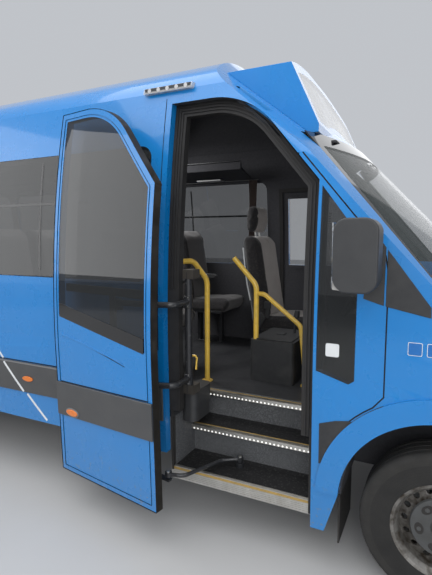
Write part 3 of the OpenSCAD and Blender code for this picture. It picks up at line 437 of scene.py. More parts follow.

# Door leaf: a blue sheet between aluminium profiles that wrap round its edge, a rubber gasket,
# bonded glass with a broad black foot and a pressed crease with a painted shadow line under it.
# It is drawn shut and turned open.
shut_spot, open_spot = Vector((1.5563, -0.9, 0)), Vector((0.8644, -1.0859, 0))
leaf_place = (Matrix.Translation(open_spot) @ Matrix.Rotation(radians(-10), 4, "Z")
              @ Matrix.Translation(-shut_spot))
taupe = Finish("bronze_profile", Metallic=0.55)
x, y, z = taupe.axes()
scuffs = taupe.noise(26.0, 5.0) * z.clamp(0.3, 1.4, 1.0, 0.35)
taupe.tones(scuffs, (0.105, 0.094, 0.082), (0.045, 0.041, 0.037))
taupe.gloss(120.0, 0.36, 0.5)
taupe.grain(500.0, 0.05, 0.0004)
rubber = Finish("rubber", Roughness=0.7)
x, y, z = rubber.axes()
film = rubber.noise(18.0, 4.0) * z.clamp(0.3, 1.6, 0.9, 0.3)
rubber.tones(film, (0.009, 0.009, 0.010), (0.040, 0.036, 0.032))
rubber.grain(900.0, 0.2, 0.0005)
rear_post, front_post, shoulder, shoulder_radius = 1.09, 1.90, (1.3167, 1.86), 0.45


def doorway(grow, low):
    """Outline of the doorway, grown outwards: a round shoulder behind, a slope in front."""
    lean, top = radians(50), 2.31
    knee = 1.865 + grow * (1 - sin(lean)) / cos(lean)
    return ([(rear_post - grow, low), (rear_post - grow, top + grow)]
            + arc(shoulder, shoulder_radius + grow, 90, 40, 12)
            + [(front_post + grow, knee), (front_post + grow, low)])


def leaf_line(grow):
    """Outline of the shut leaf, which keeps a little play in the doorway."""
    play, rear_edge, foot = 0.011, 1.115, 0.225
    return [(max(px, rear_edge - grow), pz) for px, pz in doorway(grow - play, foot - grow)]


on_leaf = {"body": "leaf_body", "place": leaf_place}
trim("leaf_edge_profile", [leaf_line(0.0015)], taupe, right, 0.0025, 0.0485, width=0.033,
     edge=0.0012, **on_leaf)
trim("leaf_gasket", [leaf_line(-0.030)], rubber, right, 0.0035, 0.008, slot="rubber", width=0.012,
     edge=0.001, **on_leaf)
pane = [(1.160, 1.167), (1.160, 2.254)] + arc(shoulder, 0.394, 90, 40, 12)
pane += [(1.844, 1.8446), (1.844, 1.044)]
trim("leaf_glass_border", [pane], ceramic, right, -0.0008, 0.001, slot="tinted_glass", width=0.024,
     **on_leaf)
foot_band = [(1.165, 1.160), (1.165, 1.236), (1.839, 1.114), (1.839, 1.039)]
trim("leaf_glass_foot", [foot_band], ceramic, right, 0.0012, 0.003, slot="tinted_glass", **on_leaf)
crease = [(1.179, 1.066), (1.32, 1.046), (1.45, 1.022), (1.58, 0.995), (1.70, 0.966), (1.58, 0.984),
          (1.45, 1.007), (1.32, 1.031), (1.179, 1.051)]
trim("leaf_crease", [crease], blue, right, 0.0025, 0.003, slot="blue_paint", edge=0.0024, steps=3,
     **on_leaf)
# Under the crease a thin near-black line is painted shadow, not a groove in the sheet.
shadow = [(px, pz - 0.014) for px, pz in crease[:5]]
trim("leaf_crease_shadow", [ribbon(shadow, 0.004)], gap, right, 0.0004, 0.0008, slot="blue_paint",
     **on_leaf)

# Rub strips: thick grained plastic with a bevelled upper edge, clipped on over a black gap. The
# highlight along that edge is painted as a pale grey line.
plastic = Finish("grained_plastic", Roughness=0.6)
x, y, z = plastic.axes()
worn = plastic.noise(7.0, 6.0).clamp(0.45, 0.75) * z.clamp(0.3, 1.1, 0.9, 0.25)
plastic.tones(worn, (0.026, 0.027, 0.029), (0.085, 0.083, 0.080))
plastic.gloss(30.0, 0.5, 0.68)
plastic.grain(1400.0, 0.25, 0.0004, 2.0)
strip_grey = Finish("strip_plastic", Roughness=0.5)
strip_grey.tones(strip_grey.noise(9.0, 5.0) * 0.8, (0.052, 0.053, 0.056), (0.085, 0.085, 0.084))
strip_grey.grain(1200.0, 0.25, 0.0004, 2.0)
# Pale grey: marker rims, lamp panels and the curtain rail, and the painted highlight along the rub
# strips.
pale_grey_and_highlight = Finish("pale_grey_and_strip_highlight", Roughness=0.4, Base_Color=(0.17, 0.172, 0.175))
pale_grey_and_highlight.grain(800.0, 0.1, 0.0004)
inner_half = -0.965
soften("leaf_trim", (strip_grey, taupe), 0.003, turned=leaf_place.inverted(),
       sort=lambda c, n: int(c.y > inner_half))
soften("rub_strips", strip_grey, 0.004)
# A pale grey line along the top of the leaf's strip is a painted highlight.
trim("leaf_strip_highlight", [ribbon([(1.15, 0.7655), (1.887, 0.7945)], 0.009)], pale_grey_and_highlight, right,
     0.0119, 0.003, **on_leaf)
trim("leaf_strip_gap", [ribbon([(1.15, 0.7745), (1.855, 0.8022)], 0.006)], gap, right, 0.0006,
     0.001, **on_leaf)
strip_front = {right: 1.078, left: 1.088}
for side, name in sides:
    runs = ((-3.34, -2.40), (-1.311, strip_front[side]))
    # The edges are pale grey lines of painted highlight along the strips' tops; the gaps are dark
    # joints.
    for what, level, width, finish, proud, depth in (
            ("edges", 0.7985, 0.009, pale_grey_and_highlight, 0.0132, 0.003),
            ("gaps", 0.8095, 0.006, gap, 0.0006, 0.001)):
        trim(f"{name}_strip_{what}", [ribbon([(a, level), (b, level)], width) for a, b in runs],
             finish, side, proud, depth)

# Amber side markers: an oval lens in a thin grey surround on the leaf, plain ones on the sides.
amber = Finish("amber_lens", Roughness=0.12, Coat_Weight=0.6)
x, y, z = amber.axes()
amber.tones((x * 160.0) % 1.0, (0.62, 0.13, 0.008), (0.80, 0.22, 0.015))


def oval(cx, cz, half_x, half_z, steps=28):
    """An oval in side view."""
    turns = [2 * pi * i / steps for i in range(steps)]
    return [(cx + half_x * cos(t), cz + half_z * sin(t)) for t in turns]


leaf_spot = (1.258, 0.608)
trim("leaf_marker_rim", [oval(*leaf_spot, 0.058, 0.026)], pale_grey_and_highlight, right, 0.0165, 0.012,
     edge=0.001, **on_leaf)
trim("leaf_marker", [oval(*leaf_spot, 0.050, 0.019)], amber, right, 0.0215, 0.012, edge=0.004,
     steps=3, slot="lamp_clear", **on_leaf)
side_markers = [oval(px, 0.70, 0.046, 0.017) for px in (-3.20, -2.52, -1.15, 0.05)]
for side, name in sides:
    trim(f"{name}_markers", side_markers, amber, side, 0.018, 0.007, edge=0.002, slot="lamp_clear")

# Door portal: a moulded rubber frame bonded in the doorway, with ribs that the leaf seals on and
# upright mouldings down both sides of the steps. Behind, the ribs end above the door's carrier.
soften("entrance_frame", rubber, 0.004)
coat(rubber, "door_seals")
carrier_top, floor_level = 1.33, 0.655
for i, grow in enumerate((-0.0135, -0.0295, -0.0455)):
    path = [(rear_post - grow, carrier_top)] + doorway(grow, floor_level)[1:]
    trim(f"portal_rib_{i + 1}", [ribbon(path, 0.007)], rubber, right, -0.046, 0.006, slot="rubber",
         edge=0.001)
posts = [[(1.093, 0.30), (1.093, floor_level), (1.104, floor_level), (1.104, 0.30)],
         [(1.876, 0.255), (1.876, 0.70), (1.895, 0.70), (1.895, 0.255)],
         [(1.900, 0.255), (1.900, 0.70), (1.928, 0.70), (1.928, 0.255)]]
trim("portal_feet", posts, rubber, right, -0.047, 0.040, slot="rubber", edge=0.003)

# Steps: welded sheet boxes with speckled grey vinyl on the risers and sides and black pimpled
# rubber mats on the treads. The cabin floor is dark vinyl with fine speckles.
riser = Finish("speckled_vinyl", Roughness=0.55)
specks = riser.noise(260.0, 2.0)
riser.tones((specks > 0.56) * 0.8, (0.075, 0.078, 0.083), (0.20, 0.205, 0.21))
riser.gloss(20.0, 0.45, 0.6)
riser.grain(300.0, 0.1, 0.0004)
mat = Finish("pimpled_mat", Roughness=0.8)
pimples = mat.cells(62.0).clamp(0.0, 0.42, 1.0, 0.0)
mat.tones(mat.noise(11.0, 5.0) * pimples, (0.008, 0.008, 0.009), (0.075, 0.072, 0.068))
mat.bump(pimples, 0.9, 0.0025)
soften("entrance_steps", (riser, mat), 0.002, sort=lambda c, n: int(n.z > 0.7 and c.z < 0.6))
vinyl = Finish("floor_vinyl", Roughness=0.5)
flecks = vinyl.noise(330.0, 2.0) > 0.60
vinyl.tones(flecks * 0.6, (0.026, 0.027, 0.030), (0.10, 0.102, 0.108))
vinyl.gloss(5.0, 0.35, 0.6)
vinyl.grain(500.0, 0.15, 0.0004)
coat(vinyl, "floor")
tray = bmesh.new()
for y0, y1, top in ((-0.902, -0.722, 0.3208), (-0.676, -0.552, 0.4908)):
    cut = bmesh.ops.create_grid(tray, x_segments=1, y_segments=46, size=0.5)["verts"]
    bmesh.ops.scale(tray, verts=cut, vec=(0.80, y1 - y0, 1))
    bmesh.ops.translate(tray, verts=cut, vec=(1.515, (y0 + y1) / 2, top))
rows = [face for i, face in enumerate(tray.faces) if i % 2]
push(tray, rows, (0, 0, 0.0022))
piece_of(tray, "step_mats", mat, "bus", "floor_cover")

# Step nosings: ribbed aluminium extrusions screwed to the tread edges, an ochre line behind and
# a row of small white lamps under the two upper ones.
alloy = Finish("aluminium", Metallic=1.0)
alloy.gloss(90.0, 0.28, 0.5, 4.0)
alloy.tones(alloy.noise(24.0, 5.0), (0.72, 0.71, 0.68), (0.46, 0.44, 0.40))
alloy.grain(300.0, 0.05, 0.0005)
ochre = Finish("ochre_inlay", Roughness=0.6)
ochre.tones(ochre.noise(30.0, 4.0), (0.52, 0.33, 0.08), (0.26, 0.19, 0.08))
glow = Finish("step_lamp", Roughness=0.3, Base_Color=(0.9, 0.9, 0.88),
              Emission_Color=(1.0, 0.97, 0.9), Emission_Strength=0.9)
glow.grain(200.0, 0.05, 0.0003)


def mark(corners, index):
    """Gives the faces at some corners the number of their finish."""
    for face in {face for vert in corners for face in vert.link_faces}:
        face.material_index = index


def block(work, x0, x1, y0, y1, z0, z1, index=0):
    """A box from its corners, added to a piece."""
    made = bmesh.ops.create_cube(work, size=1.0)["verts"]
    bmesh.ops.scale(work, verts=made, vec=(x1 - x0, y1 - y0, z1 - z0))
    bmesh.ops.translate(work, verts=made, vec=((x0 + x1) / 2, (y0 + y1) / 2, (z0 + z1) / 2))
    mark(made, index)


nosing = bmesh.new()
tread, rib_pitch, lamp_pitch = (1.105, 1.93), 0.016, 0.024
for lip, top in ((-0.68, 0.490), (-0.51, 0.650)):
    block(nosing, *tread, lip - 0.040, lip, top - 0.0278, top - 0.0012)
    for i in range(51):
        start = tread[0] + 0.008 + rib_pitch * i
        block(nosing, start, start + 0.0085, lip - 0.0395, lip - 0.009, top - 0.002, top + 0.0004)
    block(nosing, *tread, lip - 0.007, lip - 0.0005, top - 0.002, top + 0.0006, 1)
    block(nosing, *tread, lip - 0.0415, lip - 0.040, top - 0.026, top - 0.004)
    for i in range(34):
        start = tread[0] + 0.015 + lamp_pitch * i
        block(nosing, start, start + 0.008, lip - 0.0425, lip - 0.041, top - 0.024, top - 0.016, 2)
low_tread, low_top = (1.09, 1.945), 0.324
block(nosing, *low_tread, -0.9225, -0.903, 0.2505, low_top - 0.001)
for i in range(5):
    block(nosing, *low_tread, -0.9245, -0.9225, 0.256 + 0.010 * i, 0.2625 + 0.010 * i)
block(nosing, *low_tread, -0.9242, -0.916, low_top - 0.0185, low_top - 0.0065, 1)
block(nosing, *low_tread, -0.9135, -0.905, low_top - 0.0015, low_top + 0.0005)
piece_of(nosing, "ribbed_nosings", (alloy, ochre, glow), "bus", "aluminium", ("step_nosings",))

# Cover of the door gear in the rear corner of the steps: two dark mouldings, a lid over a box.
moulding = Finish("dark_moulding", Roughness=0.5)
moulding.tones(moulding.noise(16.0, 4.0), (0.026, 0.027, 0.029), (0.044, 0.045, 0.047))
moulding.grain(900.0, 0.2, 0.0004)
soften("gear_cover", moulding, 0.012, steps=4)

# Door drive: a steel column in two bearings with two bent arms, clamped on with split bosses, and
# a thin guide rod below, all in black enamel with bright bolts; a yellow emergency lever.
enamel = Finish("black_enamel", Roughness=0.4, Coat_Weight=0.2)
chips = enamel.noise(45.0, 6.0)
enamel.tones((chips > 0.66) * 0.5, (0.022, 0.023, 0.026), (0.10, 0.10, 0.10))
enamel.set(Roughness=chips.clamp(0.35, 0.7, 0.3, 0.55))
enamel.grain(400.0, 0.08, 0.0004)
bolt = Finish("zinc_bolt", Metallic=1.0, Roughness=0.35, Base_Color=(0.55, 0.55, 0.53))
bolt.grain(500.0, 0.1, 0.0003)
yellow = Finish("yellow_enamel", Roughness=0.35, Coat_Weight=0.5)
rubbed = yellow.noise(22.0, 6.0)
yellow.tones(rubbed.clamp(0.45, 0.7), (0.92, 0.60, 0.09), (0.74, 0.49, 0.09))
yellow.set(Roughness=rubbed.clamp(0.3, 0.7, 0.28, 0.45))
yellow.grain(300.0, 0.05, 0.0004)
for node in ("door_column", "guide_rod", "door_carrier"):
    soften(node, enamel, 0.0015)
soften("handrails", yellow, 0.0015)
soften("door_fittings", (taupe, enamel), 0.0015, sort=lambda c, n: int(c.z < 0.5 or c.x < 0))


def drum(work, centre, axis, radius, depth, index=0, steps=24, top=None):
    """A short cylinder or cone about an axis, centred on a point."""
    made = bmesh.ops.create_cone(work, cap_ends=True, segments=steps, radius1=radius,
                                 radius2=radius if top is None else top, depth=depth)["verts"]
    turn = Vector((0, 0, 1)).rotation_difference(Vector(axis)).to_matrix()
    bmesh.ops.rotate(work, verts=made, cent=(0, 0, 0), matrix=turn)
    bmesh.ops.translate(work, verts=made, vec=centre)
    mark(made, index)
    return made


def tube(work, path, radius, steps=12, index=0):
    """A round bar along a path of points."""
    rings = []
    for i, point in enumerate(path):
        along = (Vector(path[min(i + 1, len(path) - 1)]) - Vector(path[max(i - 1, 0)])).normalized()
        turn = Vector((0, 0, 1)).rotation_difference(along).to_matrix()
        circle = [Vector((radius * cos(2 * pi * k / steps), radius * sin(2 * pi * k / steps), 0))
                  for k in range(steps)]
        rings.append([work.verts.new(Vector(point) + turn @ spot) for spot in circle])
    for low, high in zip(rings, rings[1:]):
        for k in range(steps):
            face = work.faces.new((low[k], low[(k + 1) % steps], high[(k + 1) % steps], high[k]))
            face.material_index = index
    for ring in (rings[0][::-1], rings[-1]):
        work.faces.new(ring).material_index = index


along, across, upright = (1, 0, 0), (0, 1, 0), (0, 0, 1)
column = (1.18, -0.88)
clamps = bmesh.new()
for level in (0.83, 1.26):
    block(clamps, 1.170, 1.190, -0.914, -0.897, level - 0.030, level + 0.030)
    for rise in (-0.0235, 0.0235):
        drum(clamps, (column[0], -0.906, level + rise), along, 0.006, 0.028, 1, 6)
    for rise in (0.030, -0.030):
        drum(clamps, (*column, level + rise), upright, 0.0235, 0.010)
piece_of(clamps, "column_clamps", (enamel, bolt), "column_body", "black_steel", edge=0.001)
ends = bmesh.new()
for px, py in ((1.443, -0.766), (1.168, -1.084)):
    drum(ends, (px, py, 0.3785), upright, 0.0115, 0.008, 0, 6)
    drum(ends, (px, py, 0.3755), upright, 0.0150, 0.002)
piece_of(ends, "guide_rod_bolts", bolt, "rod_body", "aluminium", edge=0.0006)
lever = bmesh.new()
tube(lever, [(1.150, -0.832, 0.905), (1.150, -0.826, 0.936), (1.158, -0.824, 0.944),
             (1.192, -0.824, 0.944), (1.200, -0.826, 0.936), (1.200, -0.832, 0.870)], 0.0065)
piece_of(lever, "emergency_lever", yellow, "bus", "yellow_rail")
flanges = bmesh.new()
third_turn, floor_top = 2.094, 0.6525
for px, py in ((1.03, -0.37), (1.66, -0.20)):
    drum(flanges, (px, py, floor_top), upright, 0.036, 0.005)
    for k in range(3):
        out_x, out_y = 0.027 * cos(k * third_turn), 0.027 * sin(k * third_turn)
        drum(flanges, (px + out_x, py + out_y, floor_top + 0.004), upright, 0.004, 0.004, 1, 6)
piece_of(flanges, "handrail_flanges", (yellow, bolt), "bus", "yellow_rail", edge=0.0008)

# Mirrors: a dark grey moulded shell with a raised rib down its outer face, the glass behind, and
# a clear indicator with an amber bulb in the lower rear corner.
mirror_glass = Finish("mirror_glass", Metallic=1.0, Roughness=0.03, Base_Color=(0.70, 0.72, 0.74))
mirror_glass.grain(3.0, 0.02, 0.002)
clear_lens = Finish("clear_lens", Roughness=0.05, Transmission_Weight=0.7, IOR=1.49,
                    Base_Color=(0.85, 0.83, 0.80))
x, y, z = clear_lens.axes()
clear_lens.bump((x * 90.0) % 1.0, 0.25, 0.002)


def slab(work, profile, low, high, index=0):
    """A side-view profile drawn out from low to high Y."""
    face = work.faces.new([work.verts.new((px, low, pz)) for px, pz in profile])
    moved = push(work, [face], (0, high - low, 0))
    face.material_index = index
    mark(moved, index)


lens_outline = [(2.020, 1.400), (2.022, 1.497), (2.045, 1.500), (2.060, 1.470), (2.082, 1.404),
                (2.060, 1.396)]
glass_front, glass_back = 2.0145, 2.0175
for side, name in sides:
    body = body_of[f"{name}_mirror"]
    soften(f"{name}_mirror", (moulding, mirror_glass), 0.020, steps=5,
           sort=lambda c, n: int(n.x < -0.9 and abs(c.y) > 1.05 and c.x < 2.02))
    glass = bmesh.new()
    span = sorted((side * 1.068, side * 1.192))
    for low, high in ((1.462, 1.665), (1.405, 1.452)):
        block(glass, glass_front, glass_back, *span, low, high)
    piece_of(glass, f"{name}_mirror_glass", mirror_glass, body, "clear_glass", edge=0.012, steps=3)
    rib = bmesh.new()
    slab(rib, rounded(2.056, 2.176, 1.412, 1.664, 0.030), side * 1.2035, side * 1.1915)
    piece_of(rib, f"{name}_mirror_rib", moulding, body, "dark_plastic", edge=0.0015, steps=3)
    lens = bmesh.new()
    slab(lens, lens_outline, side * 1.2045, side * 1.1965)
    piece_of(lens, f"{name}_indicator_lens", clear_lens, body, "lamp_clear", edge=0.003, steps=3)
    bulb = bmesh.new()
    drum(bulb, (2.040, side * 1.2022, 1.452), (0, side, 0), 0.010, 0.004, top=0.006)
    piece_of(bulb, f"{name}_indicator_bulb", amber, body, "lamp_clear", edge=0.001)

# Trims of the front corners: black sail plates under the mirrors, two small blank blue plates on
# the right wing, and a dark moulding between the doorway's foot and the front wheel arch.
panels = [[(2.111, 1.344), (2.148, 1.629), (2.196, 1.565), (2.196, 1.318)],
          [(2.203, 1.316), (2.203, 1.556), (2.378, 1.322), (2.380, 1.279)]]
trim("sail_plates", panels, plastic, right, 0.0035, 0.006, edge=0.002)
trim("left_sail_plates", panels[1:], plastic, left, 0.0035, 0.006, edge=0.002)
plate_spots = (2.325, 2.398)
rims = [rounded(px - 0.028, px + 0.028, 1.118, 1.174, 0.006) for px in plate_spots]
trim("blank_plates_rim", rims, white, right, 0.0012, 0.002, slot="white_plate", edge=0.0004)
plate_blue = Finish("plate_blue", Roughness=0.35)
plate_blue.tones(plate_blue.noise(30.0), (0.008, 0.13, 0.42), (0.015, 0.16, 0.48))
plates = [rounded(px - 0.0255, px + 0.0255, 1.1205, 1.1715, 0.005) for px in plate_spots]
trim("blank_plates", plates, plate_blue, right, 0.0018, 0.002, slot="white_plate", edge=0.0004)
corner = [(1.935, 0.557), (1.935, 0.752), (2.007, 0.777), (2.064, 0.787), (2.130, 0.780)]
corner += arc((2.4685, 0.40), 0.453, 128, 158, 8) + [(2.034, 0.565), (1.965, 0.559)]
trim("wing_trim", [corner], plastic, right, 0.005, 0.007, edge=0.002)

# Wheels: pressed steel discs with round vents, grimy silver, a broad plastic cap with six oval
# wells in front, a hub with six nuts behind, and dusty tyres with shoulder blocks.
wheel_steel = Finish("wheel_steel", Metallic=0.75)
grime = wheel_steel.noise(26.0, 6.0)
wheel_steel.tones(grime.clamp(0.4, 0.68), (0.24, 0.23, 0.215), (0.055, 0.044, 0.033))
wheel_steel.set(Roughness=grime.clamp(0.3, 0.7, 0.35, 0.75))
wheel_steel.grain(160.0, 0.15, 0.0006)
cap_grey = Finish("cap_plastic", Roughness=0.45, Metallic=0.3)
cap_grey.tones(cap_grey.noise(20.0, 5.0), (0.10, 0.105, 0.108), (0.055, 0.054, 0.050))
cap_grey.grain(500.0, 0.08, 0.0004)
front_axle, rear_axle, hub = 2.4685, -1.8565, 0.346
cap_face = {front_axle: 0.914, rear_axle: 0.856}


def six_places(axle, reach):
    """Six places round a hub at an even reach, with their angles."""
    for k in range(6):
        a = radians(60 * k + 12)
        yield a, axle + reach * cos(a), hub + reach * sin(a)


for axle, names in ((front_axle, ("front_rim_left", "front_rim_right")),
                    (rear_axle, ("rear_rims_left", "rear_rims_right"))):
    for node in names:
        soften(node, wheel_steel, 0.002)
        side = left if node.endswith("left") else right
        face_y, outwards = side * cap_face[axle], (0, side, 0)
        cap = bmesh.new()
        if axle == front_axle:
            drum(cap, (axle, face_y + side * 0.004, hub), outwards, 0.138, 0.010, 0, 48, 0.132)
            drum(cap, (axle, face_y + side * 0.014, hub), outwards, 0.052, 0.016, 0, 40, 0.044)
            for a, px, pz in six_places(axle, 0.098):
                made = drum(cap, (0, 0, 0), outwards, 0.022, 0.003, 1, 20)
                bmesh.ops.scale(cap, verts=made, vec=(1.25, 1, 0.85))
                bmesh.ops.rotate(cap, verts=made, cent=(0, 0, 0),
                                 matrix=Matrix.Rotation(-a + pi / 2, 3, "Y"))
                bmesh.ops.translate(cap, verts=made, vec=(px, face_y + side * 0.0095, pz))
                drum(cap, (px, face_y + side * 0.0115, pz), outwards, 0.011, 0.004, 0, 6)
        else:
            drum(cap, (axle, face_y, hub), outwards, 0.075, 0.040, 0, 40, 0.066)
            for a, px, pz in six_places(axle, 0.1025):
                drum(cap, (px, face_y, pz), outwards, 0.0155, 0.03, 0, 6)
        piece_of(cap, f"{node}_cap", (cap_grey, rubber), body_of[node], "dark_plastic", edge=0.0015)
for axle, names in ((front_axle, ("front_tyre_left", "front_tyre_right")),
                    (rear_axle, ("rear_tyres_left", "rear_tyres_right"))):
    tyre = Finish(f"tyre_{'front' if axle > 0 else 'rear'}", Roughness=0.85)
    x, y, z = tyre.axes()
    ahead, up = x - axle, z - hub
    around = up.math("ARCTAN2", up, ahead) * (44 / pi)
    reach = up.math("SQRT", ahead * ahead + up * up)
    blocks = (around % 1.0 > 0.42) * (reach > 0.318)
    rings = ((reach * 85.0) % 1.0 > 0.82) * (reach < 0.312)
    dusty = tyre.noise(14.0, 5.0) * (reach > 0.30).clamp(0.0, 1.0, 0.55, 1.0)
    tyre.tones(dusty, (0.009, 0.009, 0.009), (0.040, 0.038, 0.035))
    tyre.bump(blocks * 1.0 + rings * 0.25 + tyre.noise(90.0) * 0.1, 0.9, 0.004)
    for node in names:
        soften(node, tyre, 0.003, turn=40)

# Driver's seat: foam cushions under stretched cloth, grey-beige in front and dark at the sides,
# with a white piping down the back, on a dark moulded pedestal. The headrest has two tones.
cloth = Finish("seat_cloth", Roughness=0.95, Sheen_Weight=0.3)
x, y, z = cloth.axes()
weave = ((x + y) * 420.0) % 1.0 + (z * 420.0) % 1.0
cloth.tones(cloth.noise(8.0, 5.0), (0.30, 0.265, 0.245), (0.44, 0.39, 0.36))
cloth.bump(weave * 0.5 + cloth.noise(240.0, 4.0), 0.35, 0.0012)
dark_cloth = Finish("dark_cloth", Roughness=0.95, Sheen_Weight=0.2)
flecks = (dark_cloth.noise(130.0) > 0.60) * 0.7
dark_cloth.tones(flecks, (0.020, 0.019, 0.021), (0.075, 0.062, 0.058))
dark_cloth.grain(420.0, 0.5, 0.0012, 3.0)


def as_shaped(form):
    """The form's mesh as its modifiers leave it now."""
    ready = form.evaluated_get(bpy.context.evaluated_depsgraph_get())
    return bpy.data.meshes.new_from_object(ready)


def foam(name, profile, low, high, soft, voxel, swell):
    """Mesh of a cushion: rounded foam, blown up under its cloth until it stands taut."""
    work = bmesh.new()
    slab(work, profile, low, high)
    bmesh.ops.recalc_face_normals(work, faces=work.faces[:])
    bmesh.ops.bevel(work, geom=work.edges[:], offset=soft, segments=4, affect="EDGES", profile=0.5,
                    clamp_overlap=True)
    mesh = bpy.data.meshes.new(name)
    work.to_mesh(mesh)
    work.free()
    form = bpy.data.objects.new(name, mesh)
    scene.collection.objects.link(form)
    grid = form.modifiers.new("grid", "REMESH")
    grid.mode, grid.voxel_size = "VOXEL", voxel
    shape = as_shaped(form)
    form.modifiers.clear()
    form.data = shape
    cover = form.modifiers.new("cover", "CLOTH").settings
    cover.use_pressure, cover.uniform_pressure_force = True, 4.0
    cover.effector_weights.gravity = 0.0
    cover.quality = 4
    for tick in range(1, 21):
        scene.frame_set(tick)
    blown = as_shaped(form)
    form.modifiers.clear()
    for vert, moved in zip(shape.vertices, blown.vertices):
        step = moved.co - vert.co
        vert.co += step * min(1.0, swell / max(step.length, 1e-6))
    scene.frame_set(1)
    bpy.data.objects.remove(form)
    return shape


def pad(name, shape, spot, slot, finishes, sort, nodes=(), smooth=True):
    """A cushion from its foam, moved to its spot, with cloth chosen by position."""
    work = bmesh.new()
    work.from_mesh(shape)
    for face in work.faces:
        face.material_index = sort(face.calc_center_median(), face.normal)
    bmesh.ops.translate(work, verts=work.verts[:], vec=spot)
    piece = piece_of(work, name, finishes, "bus", slot, nodes, turn=80, outwards=False)
    if smooth:
        fine = piece.modifiers.new("fine", "SUBSURF")
        fine.render_levels = fine.levels = 1


def seat_faces(width):
    """Light cloth on the front and top panel, dark cloth on the sides and behind."""
    return lambda c, n: int(abs(c.y) > width * 0.36 or n.x * 0.85 + n.z * 0.5 < 0.15)


cushion = [(-0.03, -0.105), (0.400, -0.088), (0.438, -0.030), (0.420, 0.010), (0.075, -0.008),
           (0.0, 0.0)]
back = [(-0.058, -0.085), (0.020, -0.070), (0.068, -0.010), (0.030, 0.240), (-0.030, 0.600),
        (-0.080, 0.645), (-0.145, 0.635), (-0.140, 0.560)]
hip, cloths = (1.15, 0.50, 0.99), (cloth, dark_cloth)
driver = {"cushion": foam("driver_cushion_foam", cushion, -0.225, 0.225, 0.030, 0.007, 0.014),
          "back": foam("driver_back_foam", back, -0.225, 0.225, 0.030, 0.007, 0.014)}
for part, shape in driver.items():
    pad("driver_seat_" + part, shape, hip, "driver_cloth", cloths, seat_faces(0.45),
        ("driver_seat",))
rest = [(-0.150, 0.665), (-0.085, 0.660), (-0.060, 0.74), (-0.068, 0.860), (-0.135, 0.872),
        (-0.158, 0.77)]
shape = foam("headrest_foam", rest, -0.135, 0.135, 0.028, 0.006, 0.010)
pad("driver_headrest", shape, hip, "driver_cloth", cloths,
    lambda c, n: int(c.x < -0.108 or abs(c.y) > 0.105), ("driver_seat",))
base = bmesh.new()
pedestal = [(1.13, 0.652), (1.51, 0.652), (1.50, 0.70), (1.46, 0.86), (1.40, 0.888), (1.16, 0.888),
            (1.13, 0.84)]
pan = [(1.10, 0.886), (1.56, 0.886), (1.575, 0.900), (1.56, 0.915), (1.10, 0.905)]
slab(base, pedestal, 0.33, 0.67)
slab(base, pan, 0.29, 0.71)
hinge_cover = [(1.105, 0.905), (1.16, 0.90), (1.21, 0.99), (1.17, 1.03), (1.10, 0.98)]
for low, high in ((0.262, 0.279), (0.721, 0.738)):
    slab(base, hinge_cover, low, high)
for py in (0.455, 0.545):
    tube(base, [(1.045, py, 1.60), (1.038, py, 1.68)], 0.007, 12, 1)
piece_of(base, "driver_seat_base", (moulding, bolt), "bus", "driver_cloth", ("driver_seat",),
         edge=0.005, steps=3)
piping = bmesh.new()
tube(piping, [(1.082, 0.262, 1.12), (1.055, 0.257, 1.25), (1.034, 0.257, 1.40),
              (1.018, 0.262, 1.53)], 0.0055)
piece_of(piping, "driver_seat_piping", white, "bus", "driver_cloth")
belt = bmesh.new()
block(belt, 1.205, 1.235, 0.268, 0.284, 0.985, 1.075)
block(belt, 1.195, 1.245, 0.262, 0.290, 1.06, 1.115)
piece_of(belt, "driver_belt_buckle", moulding, "bus", "dark_plastic", edge=0.004, steps=3)

# Passenger seats: fourteen single seats with high backs in dark cloth with a grey front panel, on
# steel legs with a kick plate, moulded backs and folding armrests at the aisle.
dusk = Finish("grey_cloth", Roughness=0.95, Sheen_Weight=0.2)
dusk.tones(dusk.noise(90.0, 4.0), (0.075, 0.072, 0.074), (0.15, 0.142, 0.14))
dusk.grain(300.0, 0.4, 0.0012, 4.0)
tall = [(-0.058, -0.085), (0.020, -0.070), (0.068, -0.010), (0.035, 0.240), (-0.020, 0.560),
        (-0.080, 0.628), (-0.145, 0.618), (-0.140, 0.540)]
foams = {"cushion": foam("passenger_cushion_foam", cushion, -0.212, 0.212, 0.032, 0.014, 0.014),
         "back": foam("passenger_back_foam", tall, -0.212, 0.212, 0.032, 0.014, 0.014)}
over_arch, on_floor, on_arch, tube_reach = -1.99, 0.652, 0.862, 0.19902
seat_rows, seat_lines = (0.35, -0.43, -1.21, over_arch, -2.77), (-0.70, -0.25, 0.70)
doorway_seat = (0.35, -0.70)
spots = [(sx, sy) for sx in seat_rows for sy in seat_lines if (sx, sy) != doorway_seat]
legs = bmesh.new()
for number, (sx, sy) in enumerate(spots):
    for part, shape in foams.items():
        pad(f"seat_{number + 1}_{part}", shape, (sx, sy, 1.06), "seat_cloth", (dusk, dark_cloth),
            seat_faces(0.43), ("passenger_seats",), smooth=False)
    foot = on_arch if abs(sy) > 0.5 and sx == over_arch else on_floor
    for px in (0.05, 0.27):
        block(legs, sx + px - 0.015, sx + px + 0.015, sy - 0.030, sy + 0.030, foot, 0.962)
    block(legs, sx + 0.02, sx + 0.30, sy - 0.038, sy + 0.038, foot - 0.001, foot + 0.008)
    block(legs, sx, sx + 0.36, sy - 0.19, sy + 0.19, 0.945, 0.968)
    for py in (sy - tube_reach, sy + tube_reach):
        tube(legs, [(sx - 0.02, py, 0.96), (sx - 0.075, py, 1.18), (sx - 0.125, py, 1.55)], 0.011,
             10)
    grip = sy + (0.205 if sy < 0 else -0.205)
    armrest = [(sx - 0.01, 1.265), (sx + 0.30, 1.262), (sx + 0.325, 1.28), (sx + 0.30, 1.295),
               (sx - 0.01, 1.300)]
    slab(legs, armrest, grip - 0.022, grip + 0.022, 1)
piece_of(legs, "seat_frames", (enamel, moulding), "bus", "black_steel", ("passenger_seats",),
         edge=0.003)

